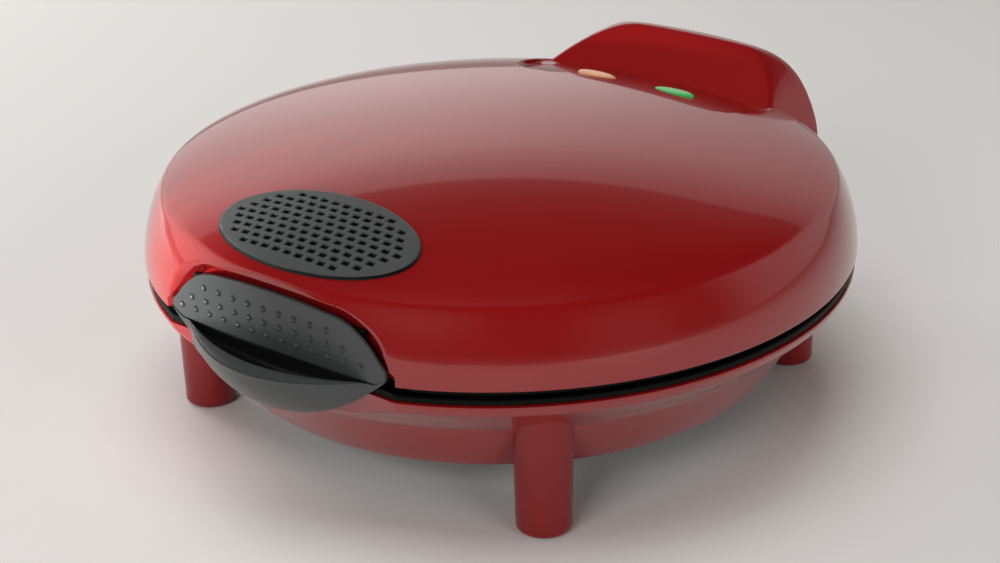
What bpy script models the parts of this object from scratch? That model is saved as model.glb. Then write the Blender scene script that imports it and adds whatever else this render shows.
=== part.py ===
# Round countertop quesadilla maker: base, hinged lid and a sprung front latch handle.
# Metres, +Z up, feet on Z = 0, front handle towards -Y, hinge towards +Y.
import bpy
import bmesh
from math import asin, cos, hypot, pi, radians, sin
from mathutils import Matrix, Vector

MM = 0.001

# Fits shared by all pieces
GAP = 0.3 * MM              # between neighbours that touch or cut each other
OVERRUN = 4 * MM            # how far a cutter passes a face
SHELL_WALL = 2.5 * MM       # moulded covers
ROUND_STEPS = 64            # facets round the large shells

# Lid
LID_RADIUS = 145 * MM       # lower edge
LID_BOTTOM = 68 * MM
CREASE_RADIUS = 135.9 * MM
CREASE_HEIGHT = 97 * MM
SIDE_BULGE_RADIUS = 144.55 * MM
SIDE_BULGE_HEIGHT = 83.5 * MM
CROWN_RISE = 16.5 * MM      # round part of the dome
EDGE_RISE = 1.8 * MM        # quick rise just inside the crease
RECESS_DEPTH = 2.2 * MM     # scallop in front of the hood
RECESS_FRONT = 77.5 * MM
RECESS_BACK = 118 * MM
RECESS_HALF_WIDTH = 71 * MM
RECESS_CORNER = 15 * MM
RECESS_BACKING = 4.2 * MM

# Front facet, pocket and handle
FACET_LOW_REACH = 133.2 * MM
FACET_HIGH_REACH = 135.9 * MM
HANDLE_FACE_REACH = 134.6 * MM
HANDLE_BACK_REACH = 132.2 * MM
HANDLE_HALF_WIDTH = 54 * MM
HANDLE_TOP = 90.4 * MM
HANDLE_TIP_HEIGHT = 69.8 * MM
BOWL_BOTTOM = 45.2 * MM
BOWL_REACH = 138 * MM
BOWL_BACK_REACH = 133.9 * MM
LIP_REACH = 153 * MM
LIP_END_REACH = 137.6 * MM
LIP_TOP = 66.8 * MM
LIP_THICKNESS = 2.4 * MM
SCOOP_HEIGHT = 64.2 * MM
SCOOP_DIP = 1.2 * MM
POCKET_GAP = 1.2 * MM
POCKET_REACH = 128.2 * MM
LATCH_PIN_REACH = 130.9 * MM
LATCH_PIN_HEIGHT = 84.5 * MM
LATCH_PIN_RADIUS = 1.2 * MM
LATCH_EAR_RADIUS = 2.6 * MM
LATCH_EAR_PLACE = 24 * MM
LATCH_EAR_WIDTH = 8 * MM
SPRING_RADIUS = 1.95 * MM
SPRING_WIRE = 0.35 * MM
SPRING_PITCH = 1.3 * MM
SPRING_TURNS = 5
SPRING_RELIEF_DEPTH = 1.4 * MM
NOSE_WIDTH = 22 * MM
NOSE_HEIGHT = 2.4 * MM
NOSE_PLACE = 56 * MM
NOSE_REACH = 3.4 * MM
NOSE_SLOT_GAP = 1.6 * MM

# Oval pad on the lid
PAD_PLACE = 108 * MM
PAD_HALF_LENGTH = 45.8 * MM
PAD_HALF_WIDTH = 23.8 * MM
PAD_THICKNESS = 1.5 * MM

# Indicator lenses, lamps and their board
LENS_PLACE_X = 20.5 * MM
LENS_PLACE_Y = 96.5 * MM
LENS_HALF_LENGTH = 10 * MM
LENS_HALF_WIDTH = 3.2 * MM
LENS_PROUD = 1.0 * MM
LENS_THICKNESS = 3 * MM
LAMP_RADIUS = 2.4 * MM
BOARD_LENGTH = 62 * MM
BOARD_WIDTH = 16 * MM
BOARD_THICKNESS = 1.6 * MM

# Hood over the hinge
HOOD_TOP = 117 * MM
HOOD_HALF_WIDTH = 76 * MM
HOOD_REACH = 162 * MM
HOOD_FACE_HEIGHT = 101.5 * MM
HOOD_FACE_REACH = 114 * MM
HOOD_FACE_SLOPE_SHARE = 0.6
HOOD_WALL = 2.5 * MM

# Hinge
HINGE_REACH = 147 * MM
HINGE_HEIGHT = 66 * MM
HINGE_PIN_RADIUS = 2.2 * MM
HINGE_PIN_LENGTH = 86 * MM
LUG_RADIUS = 6 * MM
LUG_PLACE = 26 * MM
LUG_WIDTH = 8 * MM
ARM_PLACE = 37 * MM
ARM_WIDTH = 8 * MM
ARM_TOP = 96 * MM
NOTCH_RADIUS = 9 * MM

# Base
BASE_TOP = 61.9 * MM
BASE_RADIUS = 144.4 * MM
FLANGE_LOW_RADIUS = 142.9 * MM
FLANGE_LOW_HEIGHT = 57.4 * MM
DRUM_TOP_RADIUS = 128.7 * MM
DRUM_TOP_HEIGHT = 44.8 * MM
DRUM_BOTTOM_RADIUS = 114.5 * MM
DRUM_BOTTOM = 21.8 * MM
BASE_WALL = 2.8 * MM
BASE_MOUTH_RADIUS = 129.3 * MM
BASE_FACET_TOP_REACH = 133 * MM
LEG_CIRCLE = 123.1 * MM
LEG_FOOT_RADIUS = 10.6 * MM
LEG_TOP_RADIUS = 11.5 * MM
LEG_TOP = 50 * MM
LEG_LIFT = 0.6 * MM
LEG_EDGE = 1.6 * MM
FOOT_PAD_RADIUS = 7 * MM
FOOT_PAD_THICKNESS = 3 * MM
COVER_THICKNESS = 2.5 * MM
VENT_LENGTH = 34 * MM
VENT_WIDTH = 4 * MM
VENT_PITCH = 10 * MM
VENT_PLACE = 48 * MM
SCREW_CIRCLE = 98 * MM
SCREW_HEAD_RADIUS = 4 * MM
SCREW_HEAD_HEIGHT = 1.8 * MM
SCREW_RADIUS = 1.8 * MM
SCREW_LENGTH = 12 * MM
BUSHING_RADIUS = 6 * MM
BUSHING_BORE = 3.2 * MM
BUSHING_FLANGE = 2 * MM
BUSHING_LENGTH = 14 * MM
BUSHING_HEIGHT = 34 * MM

# Rims, cooking plates, elements and shields
RIM_INNER_RADIUS = 126 * MM
RIM_OUTER_RADIUS = 141.6 * MM
RIM_THICKNESS = 2.5 * MM
RIM_FACET_REACH = 131 * MM
PLATE_THICKNESS = 2.5 * MM
PLATE_SPLIT = 0.8 * MM
WELL_DEPTH = 9 * MM
WELL_RADIUS = 117 * MM
WELL_RIB = 7 * MM
WELL_COUNT = 6
ELEMENT_CIRCLE = 84 * MM
ELEMENT_RADIUS = 3.5 * MM
ELEMENT_OPEN_ANGLE = 30
SHIELD_RADIUS = 118 * MM
SHIELD_THICKNESS = 0.8 * MM
SHIELD_LIP = 5 * MM
THERMOSTAT_RADIUS = 9 * MM
THERMOSTAT_HEIGHT = 10 * MM
THERMOSTAT_PLACE = 40 * MM
FUSE_RADIUS = 2 * MM
FUSE_LENGTH = 24 * MM
BLOCK_LENGTH = 30 * MM
BLOCK_WIDTH = 14 * MM
BLOCK_HEIGHT = 12 * MM
BLOCK_PLACE = 76 * MM

# The origin stands under the middle of the whole outline
AXIS_Y = (LIP_REACH - HOOD_REACH) / 2

for old in list(bpy.data.objects):
    bpy.data.objects.remove(old, do_unlink=True)

parts = bpy.data.collections.new("quesadilla_maker")
cutters = bpy.data.collections.new("cutters")
bpy.context.scene.collection.children.link(parts)
bpy.context.scene.collection.children.link(cutters)


def material(name, colour, roughness, metallic):
    paint = bpy.data.materials.new(name)
    paint.use_nodes = True
    shader = paint.node_tree.nodes["Principled BSDF"]
    shader.inputs["Base Color"].default_value = (*colour, 1)
    shader.inputs["Roughness"].default_value = roughness
    shader.inputs["Metallic"].default_value = metallic
    return paint


def empty(name, place, parent=None):
    helper = bpy.data.objects.new(name, None)
    parts.objects.link(helper)
    helper.location = place
    if parent:
        helper.parent = parent
    return helper


def attach(piece, parent, paint):
    """Shows a finished piece: it moves with its parent and stays where it was made."""
    piece.parent = parent
    offset = Vector()
    step = parent
    while step:
        offset += step.location
        step = step.parent
    piece.matrix_parent_inverse = Matrix.Translation(root.location - offset)
    piece.data.materials.clear()
    piece.data.materials.append(paint)
    piece.data.set_sharp_from_angle(angle=radians(32))
    return piece


def new_object(name, mesh):
    piece = bpy.data.objects.new(name, mesh)
    parts.objects.link(piece)
    mesh.shade_smooth()
    return piece


def as_cutter(piece):
    parts.objects.unlink(piece)
    cutters.objects.link(piece)
    piece.parent = root
    piece.display_type = 'WIRE'
    piece.hide_render = True
    return piece


# The exact solver leaves slits along the coplanar rings of these pieces
MANIFOLD_PIECES = ("base_shell", "lid_shell", "lid_cavity", "scallop_cut", "latch_handle", "bottom_cover")


def combine(piece, other, operation='DIFFERENCE'):
    step = piece.modifiers.new(other.name, 'BOOLEAN')
    step.operation = operation
    step.solver = 'MANIFOLD' if piece.name in MANIFOLD_PIECES else 'EXACT'
    step.object = other
    return piece


def turned(name, profile, steps=ROUND_STEPS):
    """A turned piece from (radius, height) points that run down the outer side.
    A profile that starts and ends on the axis is closed by its turn."""
    mesh = bpy.data.meshes.new(name)
    points = [(radius, 0, height) for radius, height in profile]
    links = [(i, i + 1) for i in range(len(points) - 1)]
    if profile[0][0] > 0:
        links.append((len(points) - 1, 0))
    mesh.from_pydata(points, links, [])
    piece = new_object(name, mesh)
    turn = piece.modifiers.new("turn", 'SCREW')
    turn.steps = steps
    turn.render_steps = steps
    turn.use_merge_vertices = True
    turn.merge_threshold = 0.00001
    turn.use_smooth_shade = True
    return piece


def prism(name, outline, low, high, plane='XY'):
    """A flat outline given depth from low to high. In plane YZ the outline holds (y, z) and the
    depth runs along X; in plane XZ it holds (x, z) and the depth runs along Y."""
    curve = bpy.data.curves.new(name, 'CURVE')
    curve.dimensions = '2D'
    curve.fill_mode = 'BOTH'
    curve.extrude = (high - low) / 2
    line = curve.splines.new('POLY')
    line.points.add(len(outline) - 1)
    for point, (across, along) in zip(line.points, outline):
        point.co = (across, along, 0, 1)
    line.use_cyclic_u = True
    flat = bpy.data.objects.new(name, curve)
    parts.objects.link(flat)
    bpy.context.view_layer.update()
    seen = flat.evaluated_get(bpy.context.evaluated_depsgraph_get())
    mesh = bpy.data.meshes.new_from_object(seen)
    bpy.data.objects.remove(flat)
    work = bmesh.new()
    work.from_mesh(mesh)
    bmesh.ops.remove_doubles(work, verts=work.verts, dist=0.000001)
    bmesh.ops.translate(work, verts=work.verts, vec=(0, 0, (high + low) / 2))
    turns = {'XY': Matrix.Identity(3),
             'YZ': Matrix(((0, 0, 1), (1, 0, 0), (0, 1, 0))),
             'XZ': Matrix(((1, 0, 0), (0, 0, 1), (0, 1, 0)))}
    bmesh.ops.transform(work, matrix=turns[plane].to_4x4(), verts=work.verts)
    bmesh.ops.recalc_face_normals(work, faces=work.faces)
    work.to_mesh(mesh)
    work.free()
    mesh.name = name
    return new_object(name, mesh)


def box(name, low, high):
    work = bmesh.new()
    bmesh.ops.create_cube(work, size=1)
    size = Vector(high) - Vector(low)
    bmesh.ops.scale(work, vec=size, verts=work.verts)
    bmesh.ops.translate(work, vec=(Vector(high) + Vector(low)) / 2, verts=work.verts)
    mesh = bpy.data.meshes.new(name)
    work.to_mesh(mesh)
    work.free()
    return new_object(name, mesh)


def rod(name, radius, low, high, steps=24):
    """A round bar between two points."""
    start, end = Vector(low), Vector(high)
    work = bmesh.new()
    bmesh.ops.create_cone(work, cap_ends=True, segments=steps, radius1=radius, radius2=radius,
                          depth=(end - start).length)
    turn = (end - start).to_track_quat('Z', 'Y').to_matrix().to_4x4()
    place = Matrix.Translation((start + end) / 2) @ turn
    bmesh.ops.transform(work, matrix=place, verts=work.verts)
    mesh = bpy.data.meshes.new(name)
    work.to_mesh(mesh)
    work.free()
    return new_object(name, mesh)


def loft(name, rings):
    """A closed skin over rings of equal point counts, with a flat cap at each end."""
    work = bmesh.new()
    rows = [[work.verts.new(point) for point in ring] for ring in rings]
    count = len(rows[0])
    for row, after in zip(rows, rows[1:]):
        for i in range(count):
            j = (i + 1) % count
            work.faces.new((row[i], row[j], after[j], after[i]))
    work.faces.new(rows[0])
    work.faces.new(rows[-1])
    bmesh.ops.triangulate(work, faces=work.faces)
    bmesh.ops.recalc_face_normals(work, faces=work.faces)
    mesh = bpy.data.meshes.new(name)
    work.to_mesh(mesh)
    work.free()
    return new_object(name, mesh)


def tube(name, points, radius, detail=2):
    """A wire along points, made a mesh with its caps welded."""
    curve = bpy.data.curves.new(name, 'CURVE')
    curve.dimensions = '3D'
    curve.bevel_depth = radius
    curve.bevel_resolution = detail
    curve.use_fill_caps = True
    line = curve.splines.new('POLY')
    line.points.add(len(points) - 1)
    for point, place in zip(line.points, points):
        point.co = (*place, 1)
    wire = bpy.data.objects.new(name, curve)
    parts.objects.link(wire)
    bpy.context.view_layer.update()
    seen = wire.evaluated_get(bpy.context.evaluated_depsgraph_get())
    mesh = bpy.data.meshes.new_from_object(seen)
    bpy.data.objects.remove(wire)
    work = bmesh.new()
    work.from_mesh(mesh)
    bmesh.ops.remove_doubles(work, verts=work.verts, dist=0.000001)
    bmesh.ops.recalc_face_normals(work, faces=work.faces)
    work.to_mesh(mesh)
    work.free()
    return new_object(name, mesh)


def ring_points(radius, count, centre=(0, 0), start=0.0, end=2 * pi, closed=True):
    """Points on an arc about a centre."""
    last = count if closed else count - 1
    angles = [start + (end - start) * i / last for i in range(count)]
    return [(centre[0] + radius * cos(a), centre[1] + radius * sin(a)) for a in angles]


def oval(half_length, half_width, centre, count=48):
    turns = [2 * pi * i / count for i in range(count)]
    return [(centre[0] + half_length * cos(a), centre[1] + half_width * sin(a)) for a in turns]


# Materials

gloss_red = material("gloss_red_enamel", (0.27, 0.012, 0.014), 0.18, 0)
leg_red = material("moulded_red", (0.22, 0.008, 0.01), 0.3, 0)
handle_grey = material("satin_grey", (0.1, 0.105, 0.105), 0.38, 0)
pad_grey = material("pad_grey", (0.07, 0.075, 0.073), 0.45, 0)
rim_black = material("rim_black", (0.01, 0.01, 0.01), 0.4, 0)
coated_black = material("non_stick_coating", (0.02, 0.02, 0.021), 0.42, 0.2)
element_steel = material("element_steel", (0.35, 0.34, 0.32), 0.45, 1)
shield_steel = material("shield_steel", (0.6, 0.6, 0.6), 0.35, 1)
pin_steel = material("pin_steel", (0.65, 0.65, 0.66), 0.25, 1)
rubber = material("rubber", (0.02, 0.02, 0.02), 0.85, 0)
ceramic = material("ceramic_block", (0.75, 0.73, 0.68), 0.6, 0)
board_green = material("lamp_board", (0.03, 0.14, 0.06), 0.5, 0)
amber = material("amber_lens", (0.85, 0.38, 0.12), 0.2, 0)
green = material("green_lens", (0.08, 0.55, 0.16), 0.2, 0)

root = empty("base", (0, AXIS_Y, 0))
lid = empty("lid_hinge", (0, HINGE_REACH, HINGE_HEIGHT), root)
latch_place = Vector((0, -LATCH_PIN_REACH, LATCH_PIN_HEIGHT))
latch = empty("latch_pivot", latch_place - lid.location, lid)


# Lid shell

def dome_height(radius, lift=0.0):
    share = min(radius / CREASE_RADIUS, 1)
    return CREASE_HEIGHT + CROWN_RISE * (1 - share ** 2) + EDGE_RISE * (1 - share ** 18) + lift


def side_points(steps):
    """The lid's side wall from the crease down: a curve with one control point."""
    points = []
    for i in range(steps + 1):
        t = 1 - i / steps
        radius = ((1 - t) ** 2 * LID_RADIUS + 2 * t * (1 - t) * SIDE_BULGE_RADIUS
                  + t ** 2 * CREASE_RADIUS)
        height = ((1 - t) ** 2 * LID_BOTTOM + 2 * t * (1 - t) * SIDE_BULGE_HEIGHT
                  + t ** 2 * CREASE_HEIGHT)
        points.append((radius, height))
    return points


DOME_SHARES = (0, 0.3, 0.55, 0.75, 0.88, 0.95, 0.985)
SIDE_STEPS = 4


def lid_solid(name, grow=0.0, low=LID_BOTTOM):
    """The lid's outer body, moved out by grow on the dome and on the side wall."""
    profile = [(share * CREASE_RADIUS, dome_height(share * CREASE_RADIUS, grow))
               for share in DOME_SHARES]
    profile += [(radius + grow, height + grow / 2) for radius, height in side_points(SIDE_STEPS)]
    profile[-1] = (LID_RADIUS + grow, low)
    profile.append((0, low))
    return turned(name, profile)


def facet_outline(bottom):
    """Side view of all that lies in front of the lid's flat front facet."""
    slope = (FACET_HIGH_REACH - FACET_LOW_REACH) / (CREASE_HEIGHT - LID_BOTTOM)
    top = HOOD_TOP
    far = LIP_REACH + OVERRUN
    low_reach = FACET_LOW_REACH + slope * (bottom - LID_BOTTOM)
    high_reach = FACET_LOW_REACH + slope * (top - LID_BOTTOM)
    return [(-far, bottom), (-low_reach, bottom), (-high_reach, top), (-far, top)]


HANDLE_TOP_SHARES = ((0, 1), (0.28, 0.985), (0.65, 0.905), (0.81, 0.66), (0.92, 0.37), (1, 0.02))


def handle_top(across):
    """Top edge of the handle's face, as a share of its rise over the tips."""
    place = abs(across) / HANDLE_HALF_WIDTH
    for (x0, z0), (x1, z1) in zip(HANDLE_TOP_SHARES, HANDLE_TOP_SHARES[1:]):
        if place <= x1:
            share = z0 + (z1 - z0) * (place - x0) / (x1 - x0)
            return HANDLE_TIP_HEIGHT + share * (HANDLE_TOP - HANDLE_TIP_HEIGHT)
    return HANDLE_TIP_HEIGHT


def pocket_outline():
    """Front view of the handle's pocket: the handle's top edge moved out by the gap."""
    widths = [share for share, _ in HANDLE_TOP_SHARES]
    spread = (HANDLE_HALF_WIDTH + POCKET_GAP) / HANDLE_HALF_WIDTH
    right = [(share * HANDLE_HALF_WIDTH * spread, handle_top(share * HANDLE_HALF_WIDTH) + POCKET_GAP)
             for share in widths]
    left = [(-across, height) for across, height in reversed(right[1:])]
    side = HANDLE_HALF_WIDTH * spread
    low = LID_BOTTOM - OVERRUN
    return left + right + [(side, low), (-side, low)]


def recess_outline(grow=0.0):
    """Plan of the scallop: a rounded front and straight sides."""
    side = RECESS_HALF_WIDTH + grow
    front = RECESS_FRONT - grow
    corner = (side - RECESS_CORNER, front + RECESS_CORNER)
    right = ring_points(RECESS_CORNER, 7, corner, -pi / 2, 0, closed=False)
    right.append((side, RECESS_BACK + grow))
    return [(-x, y) for x, y in reversed(right)] + right


lens_floor = dome_height(hypot(LENS_PLACE_X, LENS_PLACE_Y)) - RECESS_DEPTH

lid_guard = as_cutter(lid_solid("lid_guard", GAP, LID_BOTTOM - OVERRUN))
facet_cut = as_cutter(prism("facet_cut", facet_outline(LID_BOTTOM - OVERRUN), -LID_RADIUS,
                            LID_RADIUS, 'YZ'))
pocket_cut = as_cutter(prism("pocket_cut", pocket_outline(), -LIP_REACH, -POCKET_REACH, 'XZ'))
scallop_floor = as_cutter(lid_solid("scallop_floor", -RECESS_DEPTH))
scallop_cut = as_cutter(prism("scallop_cut", recess_outline(), LID_BOTTOM, HOOD_TOP + OVERRUN))
combine(scallop_cut, scallop_floor)

cavity_front = as_cutter(box("cavity_front", (-LID_RADIUS, -LID_RADIUS - OVERRUN, 0),
                             (LID_RADIUS, -POCKET_REACH + SHELL_WALL, HOOD_TOP)))
backing_low = lens_floor - RECESS_BACKING
cavity_roof = as_cutter(box("cavity_roof",
                            (-RECESS_HALF_WIDTH - SHELL_WALL, RECESS_FRONT - SHELL_WALL, backing_low),
                            (RECESS_HALF_WIDTH + SHELL_WALL, HOOD_FACE_REACH, HOOD_TOP)))
lid_cavity = as_cutter(lid_solid("lid_cavity", -SHELL_WALL, LID_BOTTOM - OVERRUN))
combine(lid_cavity, cavity_front)
combine(lid_cavity, cavity_roof)

notch_cut = as_cutter(box("hinge_notch",
                          (-HINGE_PIN_LENGTH / 2 - NOTCH_RADIUS / 2, HINGE_REACH - 2 * NOTCH_RADIUS, 0),
                          (HINGE_PIN_LENGTH / 2 + NOTCH_RADIUS / 2, HOOD_REACH + OVERRUN,
                           HINGE_HEIGHT + NOTCH_RADIUS)))

lid_shell = lid_solid("lid_shell")
combine(lid_shell, facet_cut)
combine(lid_shell, lid_cavity)
combine(lid_shell, pocket_cut)
combine(lid_shell, scallop_cut)
combine(lid_shell, notch_cut)
for side in (-1, 1):
    place = (side * LENS_PLACE_X, LENS_PLACE_Y)
    opening = oval(LENS_HALF_LENGTH + GAP, LENS_HALF_WIDTH + GAP, place, 28)
    combine(lid_shell, as_cutter(prism(f"lens_cut_{side}", opening, LID_BOTTOM, HOOD_TOP)))
attach(lid_shell, lid, gloss_red)


# Oval pad: the part of a raised dome that stands inside an oval

pad_dome = as_cutter(lid_solid("pad_dome", PAD_THICKNESS + GAP))
thumb_pad = prism("thumb_pad", oval(PAD_HALF_LENGTH, PAD_HALF_WIDTH, (0, -PAD_PLACE), 56),
                  LID_BOTTOM, HOOD_TOP + OVERRUN)
combine(thumb_pad, pad_dome, 'INTERSECT')
combine(thumb_pad, lid_guard)
attach(thumb_pad, lid, pad_grey)


# Indicator lenses, lamps and board

for name, paint, side in (("amber", amber, -1), ("green", green, 1)):
    place = (side * LENS_PLACE_X, LENS_PLACE_Y)
    lens_low = lens_floor + LENS_PROUD - LENS_THICKNESS
    lens = prism(f"{name}_lens", oval(LENS_HALF_LENGTH, LENS_HALF_WIDTH, place, 28), lens_low,
                 lens_floor + LENS_PROUD)
    attach(lens, lid, paint)
    lamp = rod(f"{name}_lamp", LAMP_RADIUS, (*place, backing_low), (*place, lens_low - GAP), 16)
    attach(lamp, lid, ceramic)

board = box("lamp_board", (-BOARD_LENGTH / 2, LENS_PLACE_Y - BOARD_WIDTH / 2,
                           backing_low - GAP - BOARD_THICKNESS),
            (BOARD_LENGTH / 2, LENS_PLACE_Y + BOARD_WIDTH / 2, backing_low - GAP))
attach(board, lid, board_green)


# Hood over the hinge: plan rings at rising heights, (height, half width, side reach, back reach)

HOOD_SHARES = ((0.581, 1, 0.778, 0.985), (0.7, 1, 0.785, 0.995), (0.752, 0.98, 0.795, 1),
               (0.808, 0.868, 0.809, 0.994), (0.855, 0.789, 0.823, 0.978), (0.897, 0.691, 0.836, 0.957),
               (0.932, 0.605, 0.843, 0.935), (0.96, 0.533, 0.849, 0.917), (0.979, 0.46, 0.853, 0.901),
               (0.993, 0.368, 0.858, 0.886), (1, 0.29, 0.864, 0.875))
HOOD_BACK_STEPS = 18
HOOD_FRONT_STEPS = 6


def hood_ring(height, half_width, side_reach, back_reach, inset, drop):
    """One plan ring: a straight front on the sloping face, short sides and a round back."""
    front = HOOD_FACE_REACH - SHELL_WALL
    if height > HOOD_FACE_HEIGHT:
        front = HOOD_FACE_REACH + (height - HOOD_FACE_HEIGHT) / HOOD_FACE_SLOPE_SHARE
    front += 2 * inset
    half = half_width - inset
    points = [(-half + 2 * half * i / HOOD_FRONT_STEPS, front) for i in range(HOOD_FRONT_STEPS + 1)]
    side = max(side_reach, front + GAP)
    for i in range(HOOD_BACK_STEPS + 1):
        turn = pi * i / HOOD_BACK_STEPS
        across = half * (1 if cos(turn) >= 0 else -1) * abs(cos(turn)) ** 0.8
        points.append((across, side + (back_reach - inset - side) * sin(turn) ** 0.8))
    return [(x, y, height - drop) for x, y in points]


def hood_rings(inset, count, bottom):
    rings = []
    for height, half_width, side_reach, back_reach in HOOD_SHARES[:count]:
        rings.append(hood_ring(height * HOOD_TOP, half_width * HOOD_HALF_WIDTH,
                               side_reach * HOOD_REACH, back_reach * HOOD_REACH, inset,
                               inset if rings else 0))
    rings[0] = [(x, y, bottom) for x, y, _ in rings[0]]
    return rings


hood_inside = as_cutter(loft("hood_inside", hood_rings(HOOD_WALL, 8, LID_BOTTOM - OVERRUN)))
hood = loft("hinge_hood", hood_rings(0.0, len(HOOD_SHARES), LID_BOTTOM))
combine(hood, hood_inside)
combine(hood, lid_guard)
attach(hood, lid, gloss_red)


# Hinge: lugs on the base, arms on the lid, one steel pin

def lug_outline(base_points, start, end):
    """Side view: an arc round the hinge axis joined to the points that carry it."""
    arc = ring_points(LUG_RADIUS, 15, (HINGE_REACH, HINGE_HEIGHT), start, end, closed=False)
    return arc + base_points


pin_bore = as_cutter(rod("pin_bore", HINGE_PIN_RADIUS + GAP,
                         (-HINGE_PIN_LENGTH, HINGE_REACH, HINGE_HEIGHT),
                         (HINGE_PIN_LENGTH, HINGE_REACH, HINGE_HEIGHT)))
hinge_pin = rod("hinge_pin", HINGE_PIN_RADIUS, (-HINGE_PIN_LENGTH / 2, HINGE_REACH, HINGE_HEIGHT),
                (HINGE_PIN_LENGTH / 2, HINGE_REACH, HINGE_HEIGHT))
attach(hinge_pin, root, pin_steel)

for name, side in (("left", -1), ("right", 1)):
    low = side * ARM_PLACE - ARM_WIDTH / 2
    top_back = (HINGE_REACH + LUG_RADIUS / 2, ARM_TOP)
    top_front = (HINGE_REACH - 2 * LUG_RADIUS, ARM_TOP)
    low_front = (HINGE_REACH - 2 * LUG_RADIUS, HINGE_HEIGHT + NOTCH_RADIUS + GAP)
    outline = lug_outline([top_back, top_front, low_front], -pi * 0.85, pi * 0.1)
    arm = prism(f"hinge_arm_{name}", outline, low, low + ARM_WIDTH, 'YZ')
    combine(arm, pin_bore)
    combine(arm, lid_guard)
    attach(arm, lid, rim_black)


# Base shell: turned body, front facet, hinge lugs

def base_solid(name, grow=0.0):
    profile = [(0, BASE_TOP), (BASE_RADIUS + grow, BASE_TOP), (FLANGE_LOW_RADIUS + grow, FLANGE_LOW_HEIGHT),
               (DRUM_TOP_RADIUS + grow, DRUM_TOP_HEIGHT - grow),
               (DRUM_BOTTOM_RADIUS + grow, DRUM_BOTTOM - grow), (0, DRUM_BOTTOM - grow)]
    return turned(name, profile)


flange_middle = (FLANGE_LOW_HEIGHT + DRUM_TOP_HEIGHT) / 2
base_cavity = as_cutter(turned("base_cavity", [
    (0, BASE_TOP + OVERRUN), (BASE_MOUTH_RADIUS, BASE_TOP + OVERRUN),
    (BASE_MOUTH_RADIUS, FLANGE_LOW_HEIGHT), (DRUM_TOP_RADIUS - BASE_WALL / 2, flange_middle),
    (DRUM_TOP_RADIUS - BASE_WALL, DRUM_TOP_HEIGHT), (DRUM_BOTTOM_RADIUS - BASE_WALL, DRUM_BOTTOM),
    (DRUM_BOTTOM_RADIUS - BASE_WALL, DRUM_BOTTOM - OVERRUN), (0, DRUM_BOTTOM - OVERRUN)]))
base_facet = as_cutter(prism("base_facet", [
    (-LIP_REACH, DRUM_TOP_HEIGHT), (-DRUM_TOP_RADIUS, DRUM_TOP_HEIGHT),
    (-BASE_FACET_TOP_REACH, BASE_TOP + GAP), (-LIP_REACH, BASE_TOP + GAP)],
    -LID_RADIUS, LID_RADIUS, 'YZ'))
nose_slot = as_cutter(box("nose_slot",
                          (-NOSE_WIDTH / 2 - GAP, -LIP_REACH, NOSE_PLACE - NOSE_HEIGHT / 2 - GAP),
                          (NOSE_WIDTH / 2 + GAP, -BASE_MOUTH_RADIUS + OVERRUN,
                           NOSE_PLACE + NOSE_HEIGHT / 2 + NOSE_SLOT_GAP)))

base_shell = base_solid("base_shell")
combine(base_shell, base_cavity)
combine(base_shell, base_facet)
combine(base_shell, nose_slot)
lug_root = BASE_MOUTH_RADIUS + BASE_WALL
for name, side in (("left", -1), ("right", 1)):
    low = side * LUG_PLACE - LUG_WIDTH / 2
    carried = [(lug_root, BASE_TOP - BASE_WALL / 2), (lug_root, DRUM_TOP_HEIGHT + BASE_WALL)]
    lug = prism(f"hinge_lug_{name}", lug_outline(carried, -pi * 0.3, pi * 0.9), low, low + LUG_WIDTH, 'YZ')
    combine(base_shell, as_cutter(lug), 'UNION')
combine(base_shell, pin_bore)
bushing_hole = as_cutter(rod("bushing_hole", BUSHING_RADIUS + GAP, (0, SCREW_CIRCLE, BUSHING_HEIGHT),
                             (0, HINGE_REACH, BUSHING_HEIGHT)))
combine(base_shell, bushing_hole)
attach(base_shell, root, gloss_red)


# Cord bushing in the rear of the drum, with its bore and inner and outer flanges

drum_slope = (DRUM_TOP_RADIUS - DRUM_BOTTOM_RADIUS) / (DRUM_TOP_HEIGHT - DRUM_BOTTOM)
flange_top = BUSHING_HEIGHT + BUSHING_RADIUS + BUSHING_FLANGE
bushing_seat = DRUM_BOTTOM_RADIUS + drum_slope * (flange_top - DRUM_BOTTOM)
bushing = rod("cord_bushing", BUSHING_RADIUS, (0, bushing_seat - BUSHING_LENGTH / 2, BUSHING_HEIGHT),
              (0, bushing_seat + BUSHING_LENGTH / 2, BUSHING_HEIGHT), 28)
flange = as_cutter(rod("bushing_flange", BUSHING_RADIUS + BUSHING_FLANGE,
                       (0, bushing_seat + GAP, BUSHING_HEIGHT),
                       (0, bushing_seat + GAP + BUSHING_FLANGE, BUSHING_HEIGHT), 28))
bore = as_cutter(rod("bushing_bore", BUSHING_BORE, (0, SCREW_CIRCLE, BUSHING_HEIGHT),
                     (0, HINGE_REACH, BUSHING_HEIGHT), 20))
combine(bushing, flange, 'UNION')
combine(bushing, bore)
attach(bushing, root, rim_black)


# Legs with their rubber pads

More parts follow.
